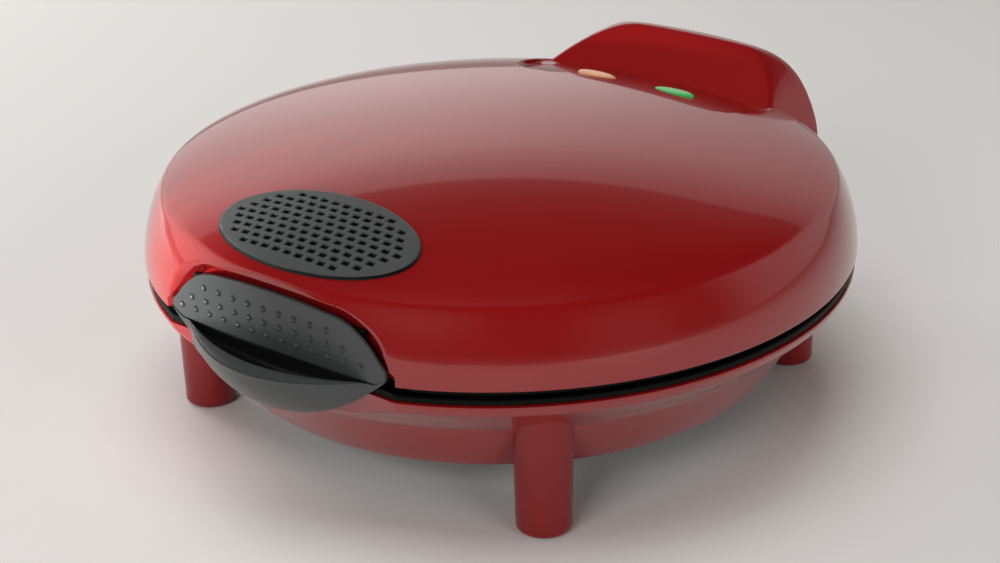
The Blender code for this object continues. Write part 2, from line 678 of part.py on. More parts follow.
drum_guard = as_cutter(base_solid("drum_guard", GAP))
LEG_ANGLES = (("front_left", 225), ("front_right", 315), ("rear_left", 135), ("rear_right", 45))
for i, (name, angle) in enumerate(LEG_ANGLES):
    x = LEG_CIRCLE * cos(radians(angle))
    y = LEG_CIRCLE * sin(radians(angle))
    profile = [(0, LEG_TOP), (LEG_TOP_RADIUS, LEG_TOP), (LEG_FOOT_RADIUS, LEG_LIFT + LEG_EDGE),
               (LEG_FOOT_RADIUS - LEG_EDGE / 3, LEG_LIFT + LEG_EDGE / 3),
               (LEG_FOOT_RADIUS - LEG_EDGE, LEG_LIFT), (FOOT_PAD_RADIUS + GAP, LEG_LIFT),
               (FOOT_PAD_RADIUS + GAP, FOOT_PAD_THICKNESS + GAP), (0, FOOT_PAD_THICKNESS + GAP)]
    leg = turned(f"leg_{name}", profile, 28)
    leg.location = (x, y, 0)
    combine(leg, drum_guard)
    attach(leg, root, leg_red)
    pad = turned(f"foot_pad_{i + 1}", [(0, FOOT_PAD_THICKNESS), (FOOT_PAD_RADIUS, FOOT_PAD_THICKNESS),
                                       (FOOT_PAD_RADIUS, 0), (0, 0)], 24)
    pad.location = (x, y, 0)
    attach(pad, root, rubber)


# Bottom cover with vents and its screws

cover_radius = DRUM_BOTTOM_RADIUS - BASE_WALL - GAP
cover = turned("bottom_cover", [(0, DRUM_BOTTOM + COVER_THICKNESS),
                                (cover_radius, DRUM_BOTTOM + COVER_THICKNESS),
                                (cover_radius, DRUM_BOTTOM), (0, DRUM_BOTTOM)], 56)
for side in (-1, 1):
    for step in (-2, -1, 0, 1, 2):
        x = step * VENT_PITCH
        y = side * VENT_PLACE
        vent = box(f"vent_{side}_{step}", (x - VENT_WIDTH / 2, y - VENT_LENGTH / 2, 0),
                   (x + VENT_WIDTH / 2, y + VENT_LENGTH / 2, BASE_TOP))
        combine(cover, as_cutter(vent))
for i in range(4):
    turn = pi * i / 2
    x = SCREW_CIRCLE * cos(turn)
    y = SCREW_CIRCLE * sin(turn)
    hole = rod(f"screw_hole_{i + 1}", SCREW_RADIUS + GAP, (x, y, 0), (x, y, BASE_TOP), 16)
    combine(cover, as_cutter(hole))
    screw = turned(f"cover_screw_{i + 1}", [
        (0, DRUM_BOTTOM + SCREW_LENGTH), (SCREW_RADIUS, DRUM_BOTTOM + SCREW_LENGTH),
        (SCREW_RADIUS, DRUM_BOTTOM - GAP), (SCREW_HEAD_RADIUS, DRUM_BOTTOM - GAP),
        (SCREW_HEAD_RADIUS, DRUM_BOTTOM - GAP - SCREW_HEAD_HEIGHT),
        (0, DRUM_BOTTOM - GAP - SCREW_HEAD_HEIGHT)], 16)
    screw.location = (x, y, 0)
    attach(screw, root, pin_steel)
attach(cover, root, rim_black)


# Rims, plates, elements and shields: the base's set stands upright, the lid's set hangs

def rim_ring(name, low, parent, front_reach):
    high = low + RIM_THICKNESS
    ring = turned(name, [(RIM_INNER_RADIUS, high), (RIM_OUTER_RADIUS, high), (RIM_OUTER_RADIUS, low),
                         (RIM_INNER_RADIUS, low)])
    front = box(f"{name}_front", (-LID_RADIUS, -LID_RADIUS - OVERRUN, 0),
                (LID_RADIUS, -front_reach, HOOD_TOP))
    combine(ring, as_cutter(front))
    combine(ring, notch_cut)
    return attach(ring, parent, rim_black)


def wedge(radius, rib, turn, count=9):
    """Plan of one well: two straight sides along the ribs and a round outer side."""
    apex = rib / 2 / sin(pi / WELL_COUNT)
    reach = pi / WELL_COUNT - asin(rib / 2 / radius)
    arc = ring_points(radius, count, (0, 0), turn - reach, turn + reach, closed=False)
    return [(apex * cos(turn), apex * sin(turn))] + arc


def cooking_plate(name, face, direction, parent):
    """A flat coated disc with six pans. Direction is -1 for pans below the face, 1 for above."""
    back = face + direction * PLATE_THICKNESS
    radius = RIM_INNER_RADIUS - GAP
    plate = turned(name, [(0, max(face, back)), (radius, max(face, back)), (radius, min(face, back)),
                          (0, min(face, back))])
    pan = face + direction * (WELL_DEPTH + PLATE_THICKNESS)
    floor = face + direction * WELL_DEPTH
    for i in range(WELL_COUNT):
        turn = 2 * pi * i / WELL_COUNT
        start = face + direction * PLATE_THICKNESS / 2
        outer = prism(f"{name}_pan_{i}", wedge(WELL_RADIUS + PLATE_THICKNESS, WELL_RIB - 2 * PLATE_THICKNESS,
                                               turn), min(start, pan), max(start, pan))
        combine(plate, as_cutter(outer), 'UNION')
    for i in range(WELL_COUNT):
        turn = 2 * pi * i / WELL_COUNT
        start = face - direction * OVERRUN
        inner = prism(f"{name}_well_{i}", wedge(WELL_RADIUS, WELL_RIB, turn), min(start, floor),
                      max(start, floor))
        combine(plate, as_cutter(inner))
    attach(plate, parent, coated_black)
    return pan


def heating_element(name, height, parent):
    """An open ring of steel tube."""
    count = 40
    first = radians(ELEMENT_OPEN_ANGLE / 2)
    points = ring_points(ELEMENT_CIRCLE, count, (0, 0), pi / 2 + first, 5 * pi / 2 - first, closed=False)
    element = tube(name, [(x, y, height) for x, y in points], ELEMENT_RADIUS, 1)
    attach(element, parent, element_steel)


def heat_shield(name, seat, direction, parent):
    """A shallow pressed pan whose lip points back at the plate."""
    far = seat + direction * SHIELD_THICKNESS
    lip = seat - direction * SHIELD_LIP
    inner = SHIELD_RADIUS - SHIELD_THICKNESS
    if direction > 0:
        profile = [(0, far), (SHIELD_RADIUS, far), (SHIELD_RADIUS, lip), (inner, lip), (inner, seat),
                   (0, seat)]
    else:
        profile = [(0, seat), (inner, seat), (inner, lip), (SHIELD_RADIUS, lip), (SHIELD_RADIUS, far),
                   (0, far)]
    attach(turned(name, profile, 56), parent, shield_steel)
    return far


rim_low = BASE_TOP + GAP
rim_ring("base_rim", rim_low, root, RIM_FACET_REACH)
lid_rim_low = LID_BOTTOM - GAP - RIM_THICKNESS
rim_ring("lid_rim", lid_rim_low, lid, POCKET_REACH)

lower_face = rim_low + RIM_THICKNESS
lower_back = cooking_plate("lower_plate", lower_face, -1, root)
element_height = lower_back - GAP - ELEMENT_RADIUS
heating_element("lower_element", element_height, root)
shield_under = heat_shield("lower_heat_shield", element_height - ELEMENT_RADIUS - GAP, -1, root)

upper_face = lower_face + PLATE_SPLIT
upper_back = cooking_plate("upper_plate", upper_face, 1, lid)
upper_element = upper_back + GAP + ELEMENT_RADIUS
heating_element("upper_element", upper_element, lid)
heat_shield("upper_heat_shield", upper_element + ELEMENT_RADIUS + GAP, 1, lid)

thermostat_top = shield_under - GAP
attach(rod("thermostat", THERMOSTAT_RADIUS, (THERMOSTAT_PLACE, 0, thermostat_top - THERMOSTAT_HEIGHT),
           (THERMOSTAT_PLACE, 0, thermostat_top)), root, ceramic)
fuse_height = thermostat_top - FUSE_RADIUS
attach(rod("thermal_fuse", FUSE_RADIUS, (-THERMOSTAT_PLACE - FUSE_LENGTH / 2, 0, fuse_height),
           (-THERMOSTAT_PLACE + FUSE_LENGTH / 2, 0, fuse_height), 14), root, element_steel)
block_low = DRUM_BOTTOM + COVER_THICKNESS + GAP
attach(box("terminal_block", (-BLOCK_LENGTH / 2, BLOCK_PLACE - BLOCK_WIDTH / 2, block_low),
           (BLOCK_LENGTH / 2, BLOCK_PLACE + BLOCK_WIDTH / 2, block_low + BLOCK_HEIGHT)), root, ceramic)


# Latch handle: cross-sections along X, from the face down over the finger lip to the bowl

BOWL_RISE = (HANDLE_TIP_HEIGHT - BOWL_BOTTOM) / HANDLE_HALF_WIDTH ** 2
LIP_CURVE = 1 / (2 * 51 * MM)
HANDLE_STATION_SHARES = (-0.985, -0.95, -0.9, -0.82, -0.73, -0.62, -0.5, -0.36, -0.2, 0, 0.2,
                         0.36, 0.5, 0.62, 0.73, 0.82, 0.9, 0.95, 0.985)


def handle_section(across):
    """One side view, run from the top of the face forwards, down and back."""
    top = handle_top(across)
    bowl = BOWL_BOTTOM + BOWL_RISE * across ** 2
    straight = LIP_REACH - LIP_CURVE * across ** 2
    reach = (straight + LIP_END_REACH + hypot(straight - LIP_END_REACH, LIP_THICKNESS)) / 2
    tall = max(top - bowl, GAP)
    lip = min(LIP_TOP, top - 0.1 * tall)
    lip = max(lip, bowl + 0.5 * tall)
    under = lip - min(LIP_THICKNESS, 0.15 * tall)
    scoop = lip - min(LIP_TOP - SCOOP_HEIGHT, 0.08 * tall)
    face = HANDLE_FACE_REACH
    neck = max(BOWL_BACK_REACH, HANDLE_BACK_REACH)
    points = [(-face, top), (-face, (top + lip) / 2), (-face, lip)]
    points.append((-face - GAP, scoop))
    points.append((-(face + reach) / 2, scoop - min(SCOOP_DIP, 0.05 * tall)))
    points.append((-reach + min(LIP_THICKNESS, (reach - face) / 2), lip - 0.02 * tall))
    points.append((-reach + GAP, lip))
    points.append((-reach, lip - 0.03 * tall))
    bend_y = reach - (reach - BOWL_REACH) / 4
    bend_z = bowl + (under - bowl) * 0.28
    for step in range(5):
        t = step / 4
        y = (1 - t) ** 2 * reach + 2 * t * (1 - t) * bend_y + t ** 2 * BOWL_REACH
        z = (1 - t) ** 2 * under + 2 * t * (1 - t) * bend_z + t ** 2 * bowl
        points.append((-y, z))
    points.append((-neck - LIP_THICKNESS / 2, bowl + 0.005 * tall))
    points.append((-neck, bowl + 0.05 * tall))
    points.append((-neck, lip - 0.02 * tall))
    points.append((-HANDLE_BACK_REACH, lip + 0.25 * (top - lip)))
    points.append((-HANDLE_BACK_REACH, top - 0.04 * tall))
    points.append((-HANDLE_BACK_REACH - LIP_THICKNESS / 4, top - 0.005 * tall))
    return [(across, y, z) for y, z in points]


handle = loft("latch_handle", [handle_section(share * HANDLE_HALF_WIDTH)
                               for share in HANDLE_STATION_SHARES])
pin_axis = (-LATCH_PIN_REACH, LATCH_PIN_HEIGHT)
for side in (-1, 1):
    low = side * LATCH_EAR_PLACE - LATCH_EAR_WIDTH / 2
    arc = ring_points(LATCH_EAR_RADIUS, 15, pin_axis, -pi / 2, pi / 2, closed=False)
    root_reach = -HANDLE_BACK_REACH - LIP_THICKNESS / 2
    outline = arc + [(root_reach, LATCH_PIN_HEIGHT + LATCH_EAR_RADIUS),
                     (root_reach, LATCH_PIN_HEIGHT - LATCH_EAR_RADIUS)]
    ear = prism(f"latch_ear_{side}", outline, low, low + LATCH_EAR_WIDTH, 'YZ')
    combine(handle, as_cutter(ear), 'UNION')
nose = box("latch_nose", (-NOSE_WIDTH / 2, -BOWL_BACK_REACH - LIP_THICKNESS, NOSE_PLACE - NOSE_HEIGHT / 2),
           (NOSE_WIDTH / 2, -BOWL_BACK_REACH + NOSE_REACH, NOSE_PLACE + NOSE_HEIGHT / 2))
combine(handle, as_cutter(nose), 'UNION')
ear_bore = rod("ear_bore", LATCH_PIN_RADIUS + GAP, (-HANDLE_HALF_WIDTH, *pin_axis),
               (HANDLE_HALF_WIDTH, *pin_axis), 16)
combine(handle, as_cutter(ear_bore))
spring_length = SPRING_TURNS * SPRING_PITCH
relief_half = spring_length / 2 + 2 * SPRING_WIRE + GAP
relief = box("spring_relief", (-relief_half, -HANDLE_BACK_REACH - SPRING_RELIEF_DEPTH,
                               LATCH_PIN_HEIGHT - SPRING_RADIUS - 2 * SPRING_WIRE - GAP),
             (relief_half, -POCKET_REACH, LATCH_PIN_HEIGHT + SPRING_RADIUS + 2 * SPRING_WIRE + GAP))
combine(handle, as_cutter(relief))
attach(handle, latch, handle_grey)


def pocket_half_width(height):
    """Half the pocket's width at a height, read from its outline."""
    outline = pocket_outline()
    for (x0, z0), (x1, z1) in zip(outline, outline[1:]):
        if x0 > 0 and z1 <= height <= z0:
            return x0 + (x1 - x0) * (z0 - height) / (z0 - z1)
    return HANDLE_HALF_WIDTH


pin_half = pocket_half_width(LATCH_PIN_HEIGHT + LATCH_PIN_RADIUS) - GAP
attach(rod("latch_pin", LATCH_PIN_RADIUS, (-pin_half, *pin_axis), (pin_half, *pin_axis), 16), lid, pin_steel)

turns = SPRING_TURNS * 9
coil = []
for i in range(turns + 1):
    angle = 2 * pi * i / 9
    coil.append((-spring_length / 2 + spring_length * i / turns,
                 -LATCH_PIN_REACH + SPRING_RADIUS * cos(angle),
                 LATCH_PIN_HEIGHT + SPRING_RADIUS * sin(angle)))
attach(tube("latch_spring", coil, SPRING_WIRE, 1), lid, pin_steel)
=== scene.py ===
import bpy
import numpy as np
from mathutils import Matrix, Vector


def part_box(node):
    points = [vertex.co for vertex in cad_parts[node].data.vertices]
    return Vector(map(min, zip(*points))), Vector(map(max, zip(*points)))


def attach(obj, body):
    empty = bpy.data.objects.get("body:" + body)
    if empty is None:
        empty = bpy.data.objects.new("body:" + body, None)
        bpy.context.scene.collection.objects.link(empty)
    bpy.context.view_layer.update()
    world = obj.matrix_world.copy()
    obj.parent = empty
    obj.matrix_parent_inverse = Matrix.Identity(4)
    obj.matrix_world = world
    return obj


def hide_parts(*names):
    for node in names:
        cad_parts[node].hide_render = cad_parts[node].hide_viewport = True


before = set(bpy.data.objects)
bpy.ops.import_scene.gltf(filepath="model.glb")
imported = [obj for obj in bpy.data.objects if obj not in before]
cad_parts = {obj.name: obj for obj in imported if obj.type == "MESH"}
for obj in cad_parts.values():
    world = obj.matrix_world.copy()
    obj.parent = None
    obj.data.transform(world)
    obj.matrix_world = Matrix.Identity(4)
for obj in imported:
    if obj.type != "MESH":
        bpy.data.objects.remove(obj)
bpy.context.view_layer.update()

plateLow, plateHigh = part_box("lower_plate")
axisY = (plateLow[1] + plateHigh[1]) / 2    # the lid's axis; shapes below are in mm from it
mm = 0.001


# Small helpers

def linear(code):    # sRGB hex to linear colour
    values = [int(code[i:i + 2], 16) / 255 for i in (1, 3, 5)]
    return tuple(v / 12.92 if v <= 0.04045 else ((v + 0.055) / 1.055) ** 2.4 for v in values) + (1,)


def smooth(t):    # 0 below 0, 1 above 1, an S curve between
    t = np.clip(t, 0, 1)
    return t * t * (3 - 2 * t)


def softMin(a, b, blend):    # the lower of two surfaces, rounded where they meet within blend
    return (a + b - np.sqrt((a - b) ** 2 + blend ** 2)) / 2


def roundCorners(points, times, axis):    # cuts each corner at a quarter and three quarters of its sides
    for _ in range(times):
        after = np.roll(points, -1, axis=axis)
        near = points * 0.75 + after * 0.25
        far = points * 0.25 + after * 0.75
        shape = list(points.shape)
        shape[axis] *= 2
        points = np.stack([near, far], axis=axis + 1).reshape(shape)
    return points


def resample(outline, count):    # evenly spaced points round a closed outline, by its length
    line = np.vstack([outline, outline[:1]])
    length = np.concatenate([[0], np.cumsum(np.linalg.norm(np.diff(line, axis=0), axis=1))])
    marks = np.linspace(0, length[-1], count, endpoint=False)
    return np.stack([np.interp(marks, length, line[:, k]) for k in range(line.shape[1])], axis=1)


def runningMean(values, reach):    # each value becomes the mean of itself and reach values to each side
    return np.convolve(np.pad(values, reach, mode='edge'), np.ones(2 * reach + 1) / (2 * reach + 1), mode='valid')


def addPiece(name, verts, faces, material, body, replaces, sharp):
    # One closed skin from points in mm, smooth but for edges sharper than the angle
    mesh = bpy.data.meshes.new(name)
    mesh.from_pydata(((verts + [0, axisY / mm, 0]) * mm).tolist(), [], faces)
    mesh.shade_smooth()
    mesh.set_sharp_from_angle(angle=np.radians(sharp))
    mesh.materials.append(material)
    piece = bpy.data.objects.new(name, mesh)
    bpy.context.scene.collection.objects.link(piece)
    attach(piece, body)
    if replaces:
        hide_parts(*replaces)
    return piece


def gridMesh(name, points, material, body, replaces=(), loop=False, sharp=35):
    # A skin over a grid of rows by columns: columns always close on themselves. The first and last
    # rows are joined to each other when loop is set, and closed by a middle point otherwise. All faces
    # are turned over when the volume under them comes out negative.
    rows, cols, _ = points.shape
    verts = points.reshape(-1, 3)
    r = np.arange(rows if loop else rows - 1)[:, None]
    c = np.arange(cols)[None, :]
    r1, c1 = (r + 1) % rows, (c + 1) % cols
    quads = np.stack([r * cols + c, r * cols + c1, r1 * cols + c1, r1 * cols + c], -1).reshape(-1, 4)
    tris = np.zeros((0, 3), int)
    if not loop:
        verts = np.vstack([verts, points[0].mean(0), points[-1].mean(0)])
        first, last = rows * cols, rows * cols + 1
        ring, after = np.arange(cols), (np.arange(cols) + 1) % cols
        tris = np.vstack([np.stack([after, ring, np.full(cols, first)], 1),
                          np.stack([(rows - 1) * cols + ring, (rows - 1) * cols + after,
                                    np.full(cols, last)], 1)])
    allTris = np.vstack([quads[:, [0, 1, 2]], quads[:, [0, 2, 3]], tris])
    a, b, d = verts[allTris[:, 0]], verts[allTris[:, 1]], verts[allTris[:, 2]]
    if np.einsum('ij,ij->i', a, np.cross(b, d)).sum() < 0:
        quads, tris = quads[:, ::-1], tris[:, ::-1]
    return addPiece(name, verts, quads.tolist() + tris.tolist(), material, body, replaces, sharp)


def sheetPiece(name, upper, lower, material, body, slot, replaces):
    # Two grids of equal shape joined round their border into one closed skin
    rows, cols, _ = upper.shape
    index = np.arange(rows * cols).reshape(rows, cols)
    quads = np.stack([index[:-1, :-1], index[:-1, 1:], index[1:, 1:], index[1:, :-1]], -1).reshape(-1, 4)
    other = quads[:, ::-1] + rows * cols
    rim = np.concatenate([index[0, :-1], index[:-1, -1], index[-1, :0:-1], index[:0:-1, 0]])
    after = np.roll(rim, -1)
    sides = np.stack([rim, rim + rows * cols, after + rows * cols, after], -1)
    verts = np.vstack([upper.reshape(-1, 3), lower.reshape(-1, 3)])
    return addPiece(name, verts, np.vstack([quads, other, sides]).tolist(), material, body, replaces, 60)


def turnedGrid(profile, cols, centre):    # each (radius, height) carried round an upright axis
    turn = np.linspace(0, 2 * np.pi, cols, endpoint=False)
    radius, height = profile[:, 0][:, None], profile[:, 1][:, None]
    return np.stack([centre[0] + radius * np.cos(turn), centre[1] + radius * np.sin(turn),
                     height + 0 * turn], -1)


# Materials

def addNode(tree, kind, settings=(), links=()):    # a shader node with its inputs, settings and links
    node = tree.nodes.new(kind)
    for key, value in dict(settings).items():
        if key in node.inputs:
            node.inputs[key].default_value = value
        else:
            setattr(node, key, value)
    for source, socket, target in links:
        tree.links.new(source.outputs[socket], node.inputs[target])
    return node


driftScale = 14.0    # marks to the metre of the slow change between the two tones


def surface(name, colour, darker, roughness, grain, bump, spread=0.06, metallic=0.0, **sockets):
    # Colour drifts slowly between two tones, roughness goes up and down by spread, and a fine grain
    # lifts the surface. Grain is the size of its marks in mm, bump their height in mm.
    made = bpy.data.materials.new(name)
    made.use_nodes = True
    tree = made.node_tree
    shader = tree.nodes["Principled BSDF"]
    shader.inputs["Metallic"].default_value = metallic
    for key, value in sockets.items():
        shader.inputs[key.replace("_", " ")].default_value = value
    where = addNode(tree, "ShaderNodeTexCoord")
    drift = addNode(tree, "ShaderNodeTexNoise", {"Scale": driftScale, "Detail": 3.0},
                    [(where, "Object", "Vector")])
    fine = addNode(tree, "ShaderNodeTexNoise", {"Scale": 1000 / grain, "Detail": 2.0},
                   [(where, "Object", "Vector")])
    tone = addNode(tree, "ShaderNodeMix", {"data_type": 'RGBA'})
    tone.inputs[6].default_value = linear(colour)
    tone.inputs[7].default_value = linear(darker)
    tree.links.new(drift.outputs["Fac"], tone.inputs[0])
    tree.links.new(tone.outputs[2], shader.inputs["Base Color"])
    rough = addNode(tree, "ShaderNodeMapRange", {"To Min": roughness - spread, "To Max": roughness + spread},
                    [(fine, "Fac", "Value")])
    tree.links.new(rough.outputs["Result"], shader.inputs["Roughness"])
    lift = addNode(tree, "ShaderNodeBump", {"Strength": 1.0, "Distance": bump * mm}, [(fine, "Fac", "Height")])
    tree.links.new(lift.outputs["Normal"], shader.inputs["Normal"])
    return made


# Red lacquer on moulded ABS: a deep body colour under a clear, mirror-like coat
lacquer = surface("redLacqueredAbs", "#8e1517", "#82100f", 0.22, 0.8, 0.0004, 0.02,
                  Coat_Weight=0.7, Coat_Roughness=0.03, Coat_IOR=1.5)
# The same resin left as moulded: a softer gloss
mouldedRed = surface("redMouldedAbs", "#84100f", "#750c0c", 0.3, 0.9, 0.002, 0.04)
# Handle: satin painted polyamide, even and slightly metallic grey
satinGrey = surface("satinGreyPolyamide", "#484b4b", "#404343", 0.33, 0.35, 0.004, 0.05, 0.3)
# Pad: soft thermoplastic rubber, matt with a faint sheen
padRubber = surface("softPadElastomer", "#4a4e4d", "#424645", 0.46, 0.4, 0.006, 0.05)
# Finger hollow: painted shade, a near black with a low gloss laid where the hollow lies in shadow
hollowShadeBlack = surface("hollowPaintedShade", "#101111", "#0b0b0b", 0.4, 0.5, 0.003, 0.05)
# Rims: black glass-filled nylon, near matt, so that the gap between lid and base reads black
rimNylon = surface("blackHeatNylon", "#040404", "#030303", 0.5, 0.5, 0.004, 0.05, Specular_IOR_Level=0.15)
# Plates: cast aluminium under a sprayed non-stick coat with a fine orange peel
nonStick = surface("nonStickCoatedCasting", "#1b1b1c", "#151516", 0.4, 1.2, 0.012, 0.08, 0.0,
                   Specular_IOR_Level=0.6)
# Heating tubes and fuse: steel browned by heat, dull
heatedSteel = surface("heatTintedSteel", "#8a7f72", "#6d6358", 0.42, 0.6, 0.004, 0.08, 1.0)
# Shields: bright rolled sheet
sheetSteel = surface("pressedSheetSteel", "#c4c4c2", "#b2b2b0", 0.34, 0.5, 0.003, 0.06, 1.0)
# Hinge pin and screws: ground steel, the brightest metal here
pinSteel = surface("groundPinSteel", "#c8c8ca", "#b8b8ba", 0.24, 0.3, 0.002, 0.04, 1.0)
# Latch pin and spring: blackened, so that nothing glints beside the handle
darkSteel = surface("blackenedSteel", "#161616", "#101010", 0.5, 0.4, 0.003, 0.06, 0.6)
# Foot pads: dead matt black rubber
footRubber = surface("footRubber", "#171717", "#101010", 0.8, 0.6, 0.01, 0.05)
# Thermostat, terminal block and lamp bodies: chalky off-white ceramic
steatite = surface("steatiteCeramic", "#dcd6c8", "#d0c9ba", 0.6, 0.6, 0.006, 0.05)
# Lamp board: green laminate with a soft gloss
boardLaminate = surface("glassEpoxyBoard", "#1e5a34", "#184a2b", 0.5, 0.4, 0.003, 0.05)
# Lenses: tinted polycarbonate with a lit look, glossy outside
amberLens = surface("amberPolycarbonate", "#e2a878", "#d8935f", 0.16, 2.0, 0.001, 0.03,
                    Coat_Weight=0.6, Coat_Roughness=0.04)
greenLens = surface("greenPolycarbonate", "#46c063", "#2fae50", 0.16, 2.0, 0.001, 0.03,
                    Coat_Weight=0.6, Coat_Roughness=0.04)
print("materials made")


# Lid: a turned dome over a bulging side wall, a flat facet and pocket at the front for the handle,
# a shallow scallop at the rear for the lenses

lidSize = {"rim": 145.0, "bottom": 68.0, "crease": 135.9, "creaseHeight": 97.0, "bulge": 144.55,
           "bulgeHeight": 83.5, "crown": 16.5, "edge": 1.8, "facetLow": 133.2, "facetHigh": 135.9,
           "pocket": 128.2, "pocketGap": 1.2, "scallopFront": 77.5, "scallopSide": 61.0,
           "scallopCorner": 22.0, "scallopBack": 118.0, "scallopFade": 131.0, "scallopDepth": 2.2, "wall": 2.5,
           "notchSide": 47.5, "notchTop": 75.5, "edgeRound": 0.7, "bend": 1.7, "dishSide": 57.4,
           "dishCurve": 1.4, "pocketSide": 57.2, "pocketWall": 2.3}
frontSine = -0.85    # directions with a lower sine than this reach the flat front of lid and base
handleSize = {"half": 54.0, "top": 90.4, "tip": 69.8, "face": 134.6, "back": 132.2, "bowlBottom": 45.2,
              "bowlReach": 138.0, "bowlBack": 132.4, "bow": 1.1, "lipReach": 153.0, "lipTop": 66.8, "lipThick": 2.4,
              "scoopDip": 8.0, "curve": 1 / 102.0}
# Places across the handle's half, and how far its top edge has risen there from the tip
handleTopShares = np.array([(0, 1), (0.28, 0.985), (0.65, 0.905), (0.81, 0.66), (0.92, 0.37), (1, 0.02)])


def domeHeight(radius):    # a parabola over the whole lid, and a steep fall in its last few millimetres
    share = np.minimum(radius / lidSize["crease"], 1)
    return lidSize["creaseHeight"] + lidSize["crown"] * (1 - share ** 2) + lidSize["edge"] * (1 - share ** 18)


sideT = np.linspace(0, 1, 200)    # the side wall's curve, bottom to crease, as a table
sideR = ((1 - sideT) ** 2 * lidSize["rim"] + 2 * sideT * (1 - sideT) * lidSize["bulge"]
         + sideT ** 2 * lidSize["crease"])
sideZ = ((1 - sideT) ** 2 * lidSize["bottom"] + 2 * sideT * (1 - sideT) * lidSize["bulgeHeight"]
         + sideT ** 2 * lidSize["creaseHeight"])


def facetReach(height):    # distance from the axis to the flat front, which leans out as it climbs
    slope = (lidSize["facetHigh"] - lidSize["facetLow"]) / (lidSize["creaseHeight"] - lidSize["bottom"])
    return lidSize["facetLow"] + slope * (height - lidSize["bottom"])


topPlaces = np.linspace(-1.1, 1.1, 441)    # across the handle, in halves of its width
topRise = runningMean(np.interp(np.abs(topPlaces), handleTopShares[:, 0], handleTopShares[:, 1]), 18)
# Height of the recess's edge at each distance from the middle
recessEdge = np.array([(0, 94.3), (18, 94.1), (33.6, 93.2), (38.3, 91.9), (44.4, 89), (49, 86), (52.5, 82.5),
                       (55.4, 77), (56.5, 69), (57.2, 60)])


def handleTop(across):    # top edge of the handle, read from its smoothed table
    share = np.interp(across / handleSize["half"], topPlaces, topRise)
    return handleSize["tip"] + share * (handleSize["top"] - handleSize["tip"])


edgePlaces = np.linspace(-60, 60, 481)
edgeHeights = runningMean(np.interp(np.abs(edgePlaces), recessEdge[:, 0], recessEdge[:, 1]), 18)


def recessTop(across):    # edge of the dished recess round the handle, read from its smoothed table
    return np.interp(across, edgePlaces, edgeHeights)


def distanceTo(outline, x, z):    # height above an outline, over the length of its slope
    slope = outline(x + 0.5) - outline(x - 0.5)
    return (z - outline(x)) / np.sqrt(1 + slope ** 2)


def scallopDepth(x, y):
    # Depth of the rear recess: full inside an outline with round front corners, none outside, fading
    # to nothing before the crease
    s = lidSize
    ax = np.abs(x) - (s["scallopSide"] - s["scallopCorner"])
    ay = (s["scallopFront"] + s["scallopCorner"]) - y
    outside = np.hypot(np.maximum(ax, 0), np.maximum(ay, 0)) + np.minimum(np.maximum(ax, ay), 0)
    inside = smooth((s["scallopCorner"] - outside) / 0.9 + 0.5)
    return s["scallopDepth"] * inside * smooth((s["scallopFade"] - np.hypot(x, y)) / 12)


# Columns of all turned shells, in degrees: how far apart they stand, where the close ones end and
# over how wide a turn that changes
columnSteps = {"wide": 1.2, "front": 0.28, "rear": 0.48, "frontReach": 35, "rearStart": 123, "change": 11}


def spacedAngles():
    # Close columns at the flat front and at the rear recess, wide ones between, changing slowly: the
    # sum of one over the step is cut into even parts.
    s = columnSteps
    fine = np.linspace(-270, 90, 7201)
    off = np.abs(fine + 90)
    step = (s["wide"] - (s["wide"] - s["front"]) * smooth((s["frontReach"] - off) / s["change"])
            - (s["wide"] - s["rear"]) * smooth((off - s["rearStart"]) / s["change"]))
    total = np.concatenate([[0], np.cumsum(np.diff(fine) / step[1:])])
    return np.radians(np.interp(np.linspace(0, total[-1], int(total[-1]), endpoint=False), total, fine))


def between(knots, counts):    # rows spaced evenly between knots that differ from column to column
    rows = []
    for low, high, count in zip(knots[:-1], knots[1:], counts):
        share = np.linspace(0, 1, count, endpoint=False)[:, None]
        rows.append(low[None] * (1 - share) + high[None] * share)
    return np.vstack(rows + [knots[-1][None]])


domeRows, wallRows = [30, 6, 14, 6, 8], [8, 6, 4, 5, 9, 6, 10]    # rows between one edge and the next


def evenShares(counts):    # where the edges fall when all rows are spaced evenly
    return np.cumsum([0] + counts) / sum(counts)


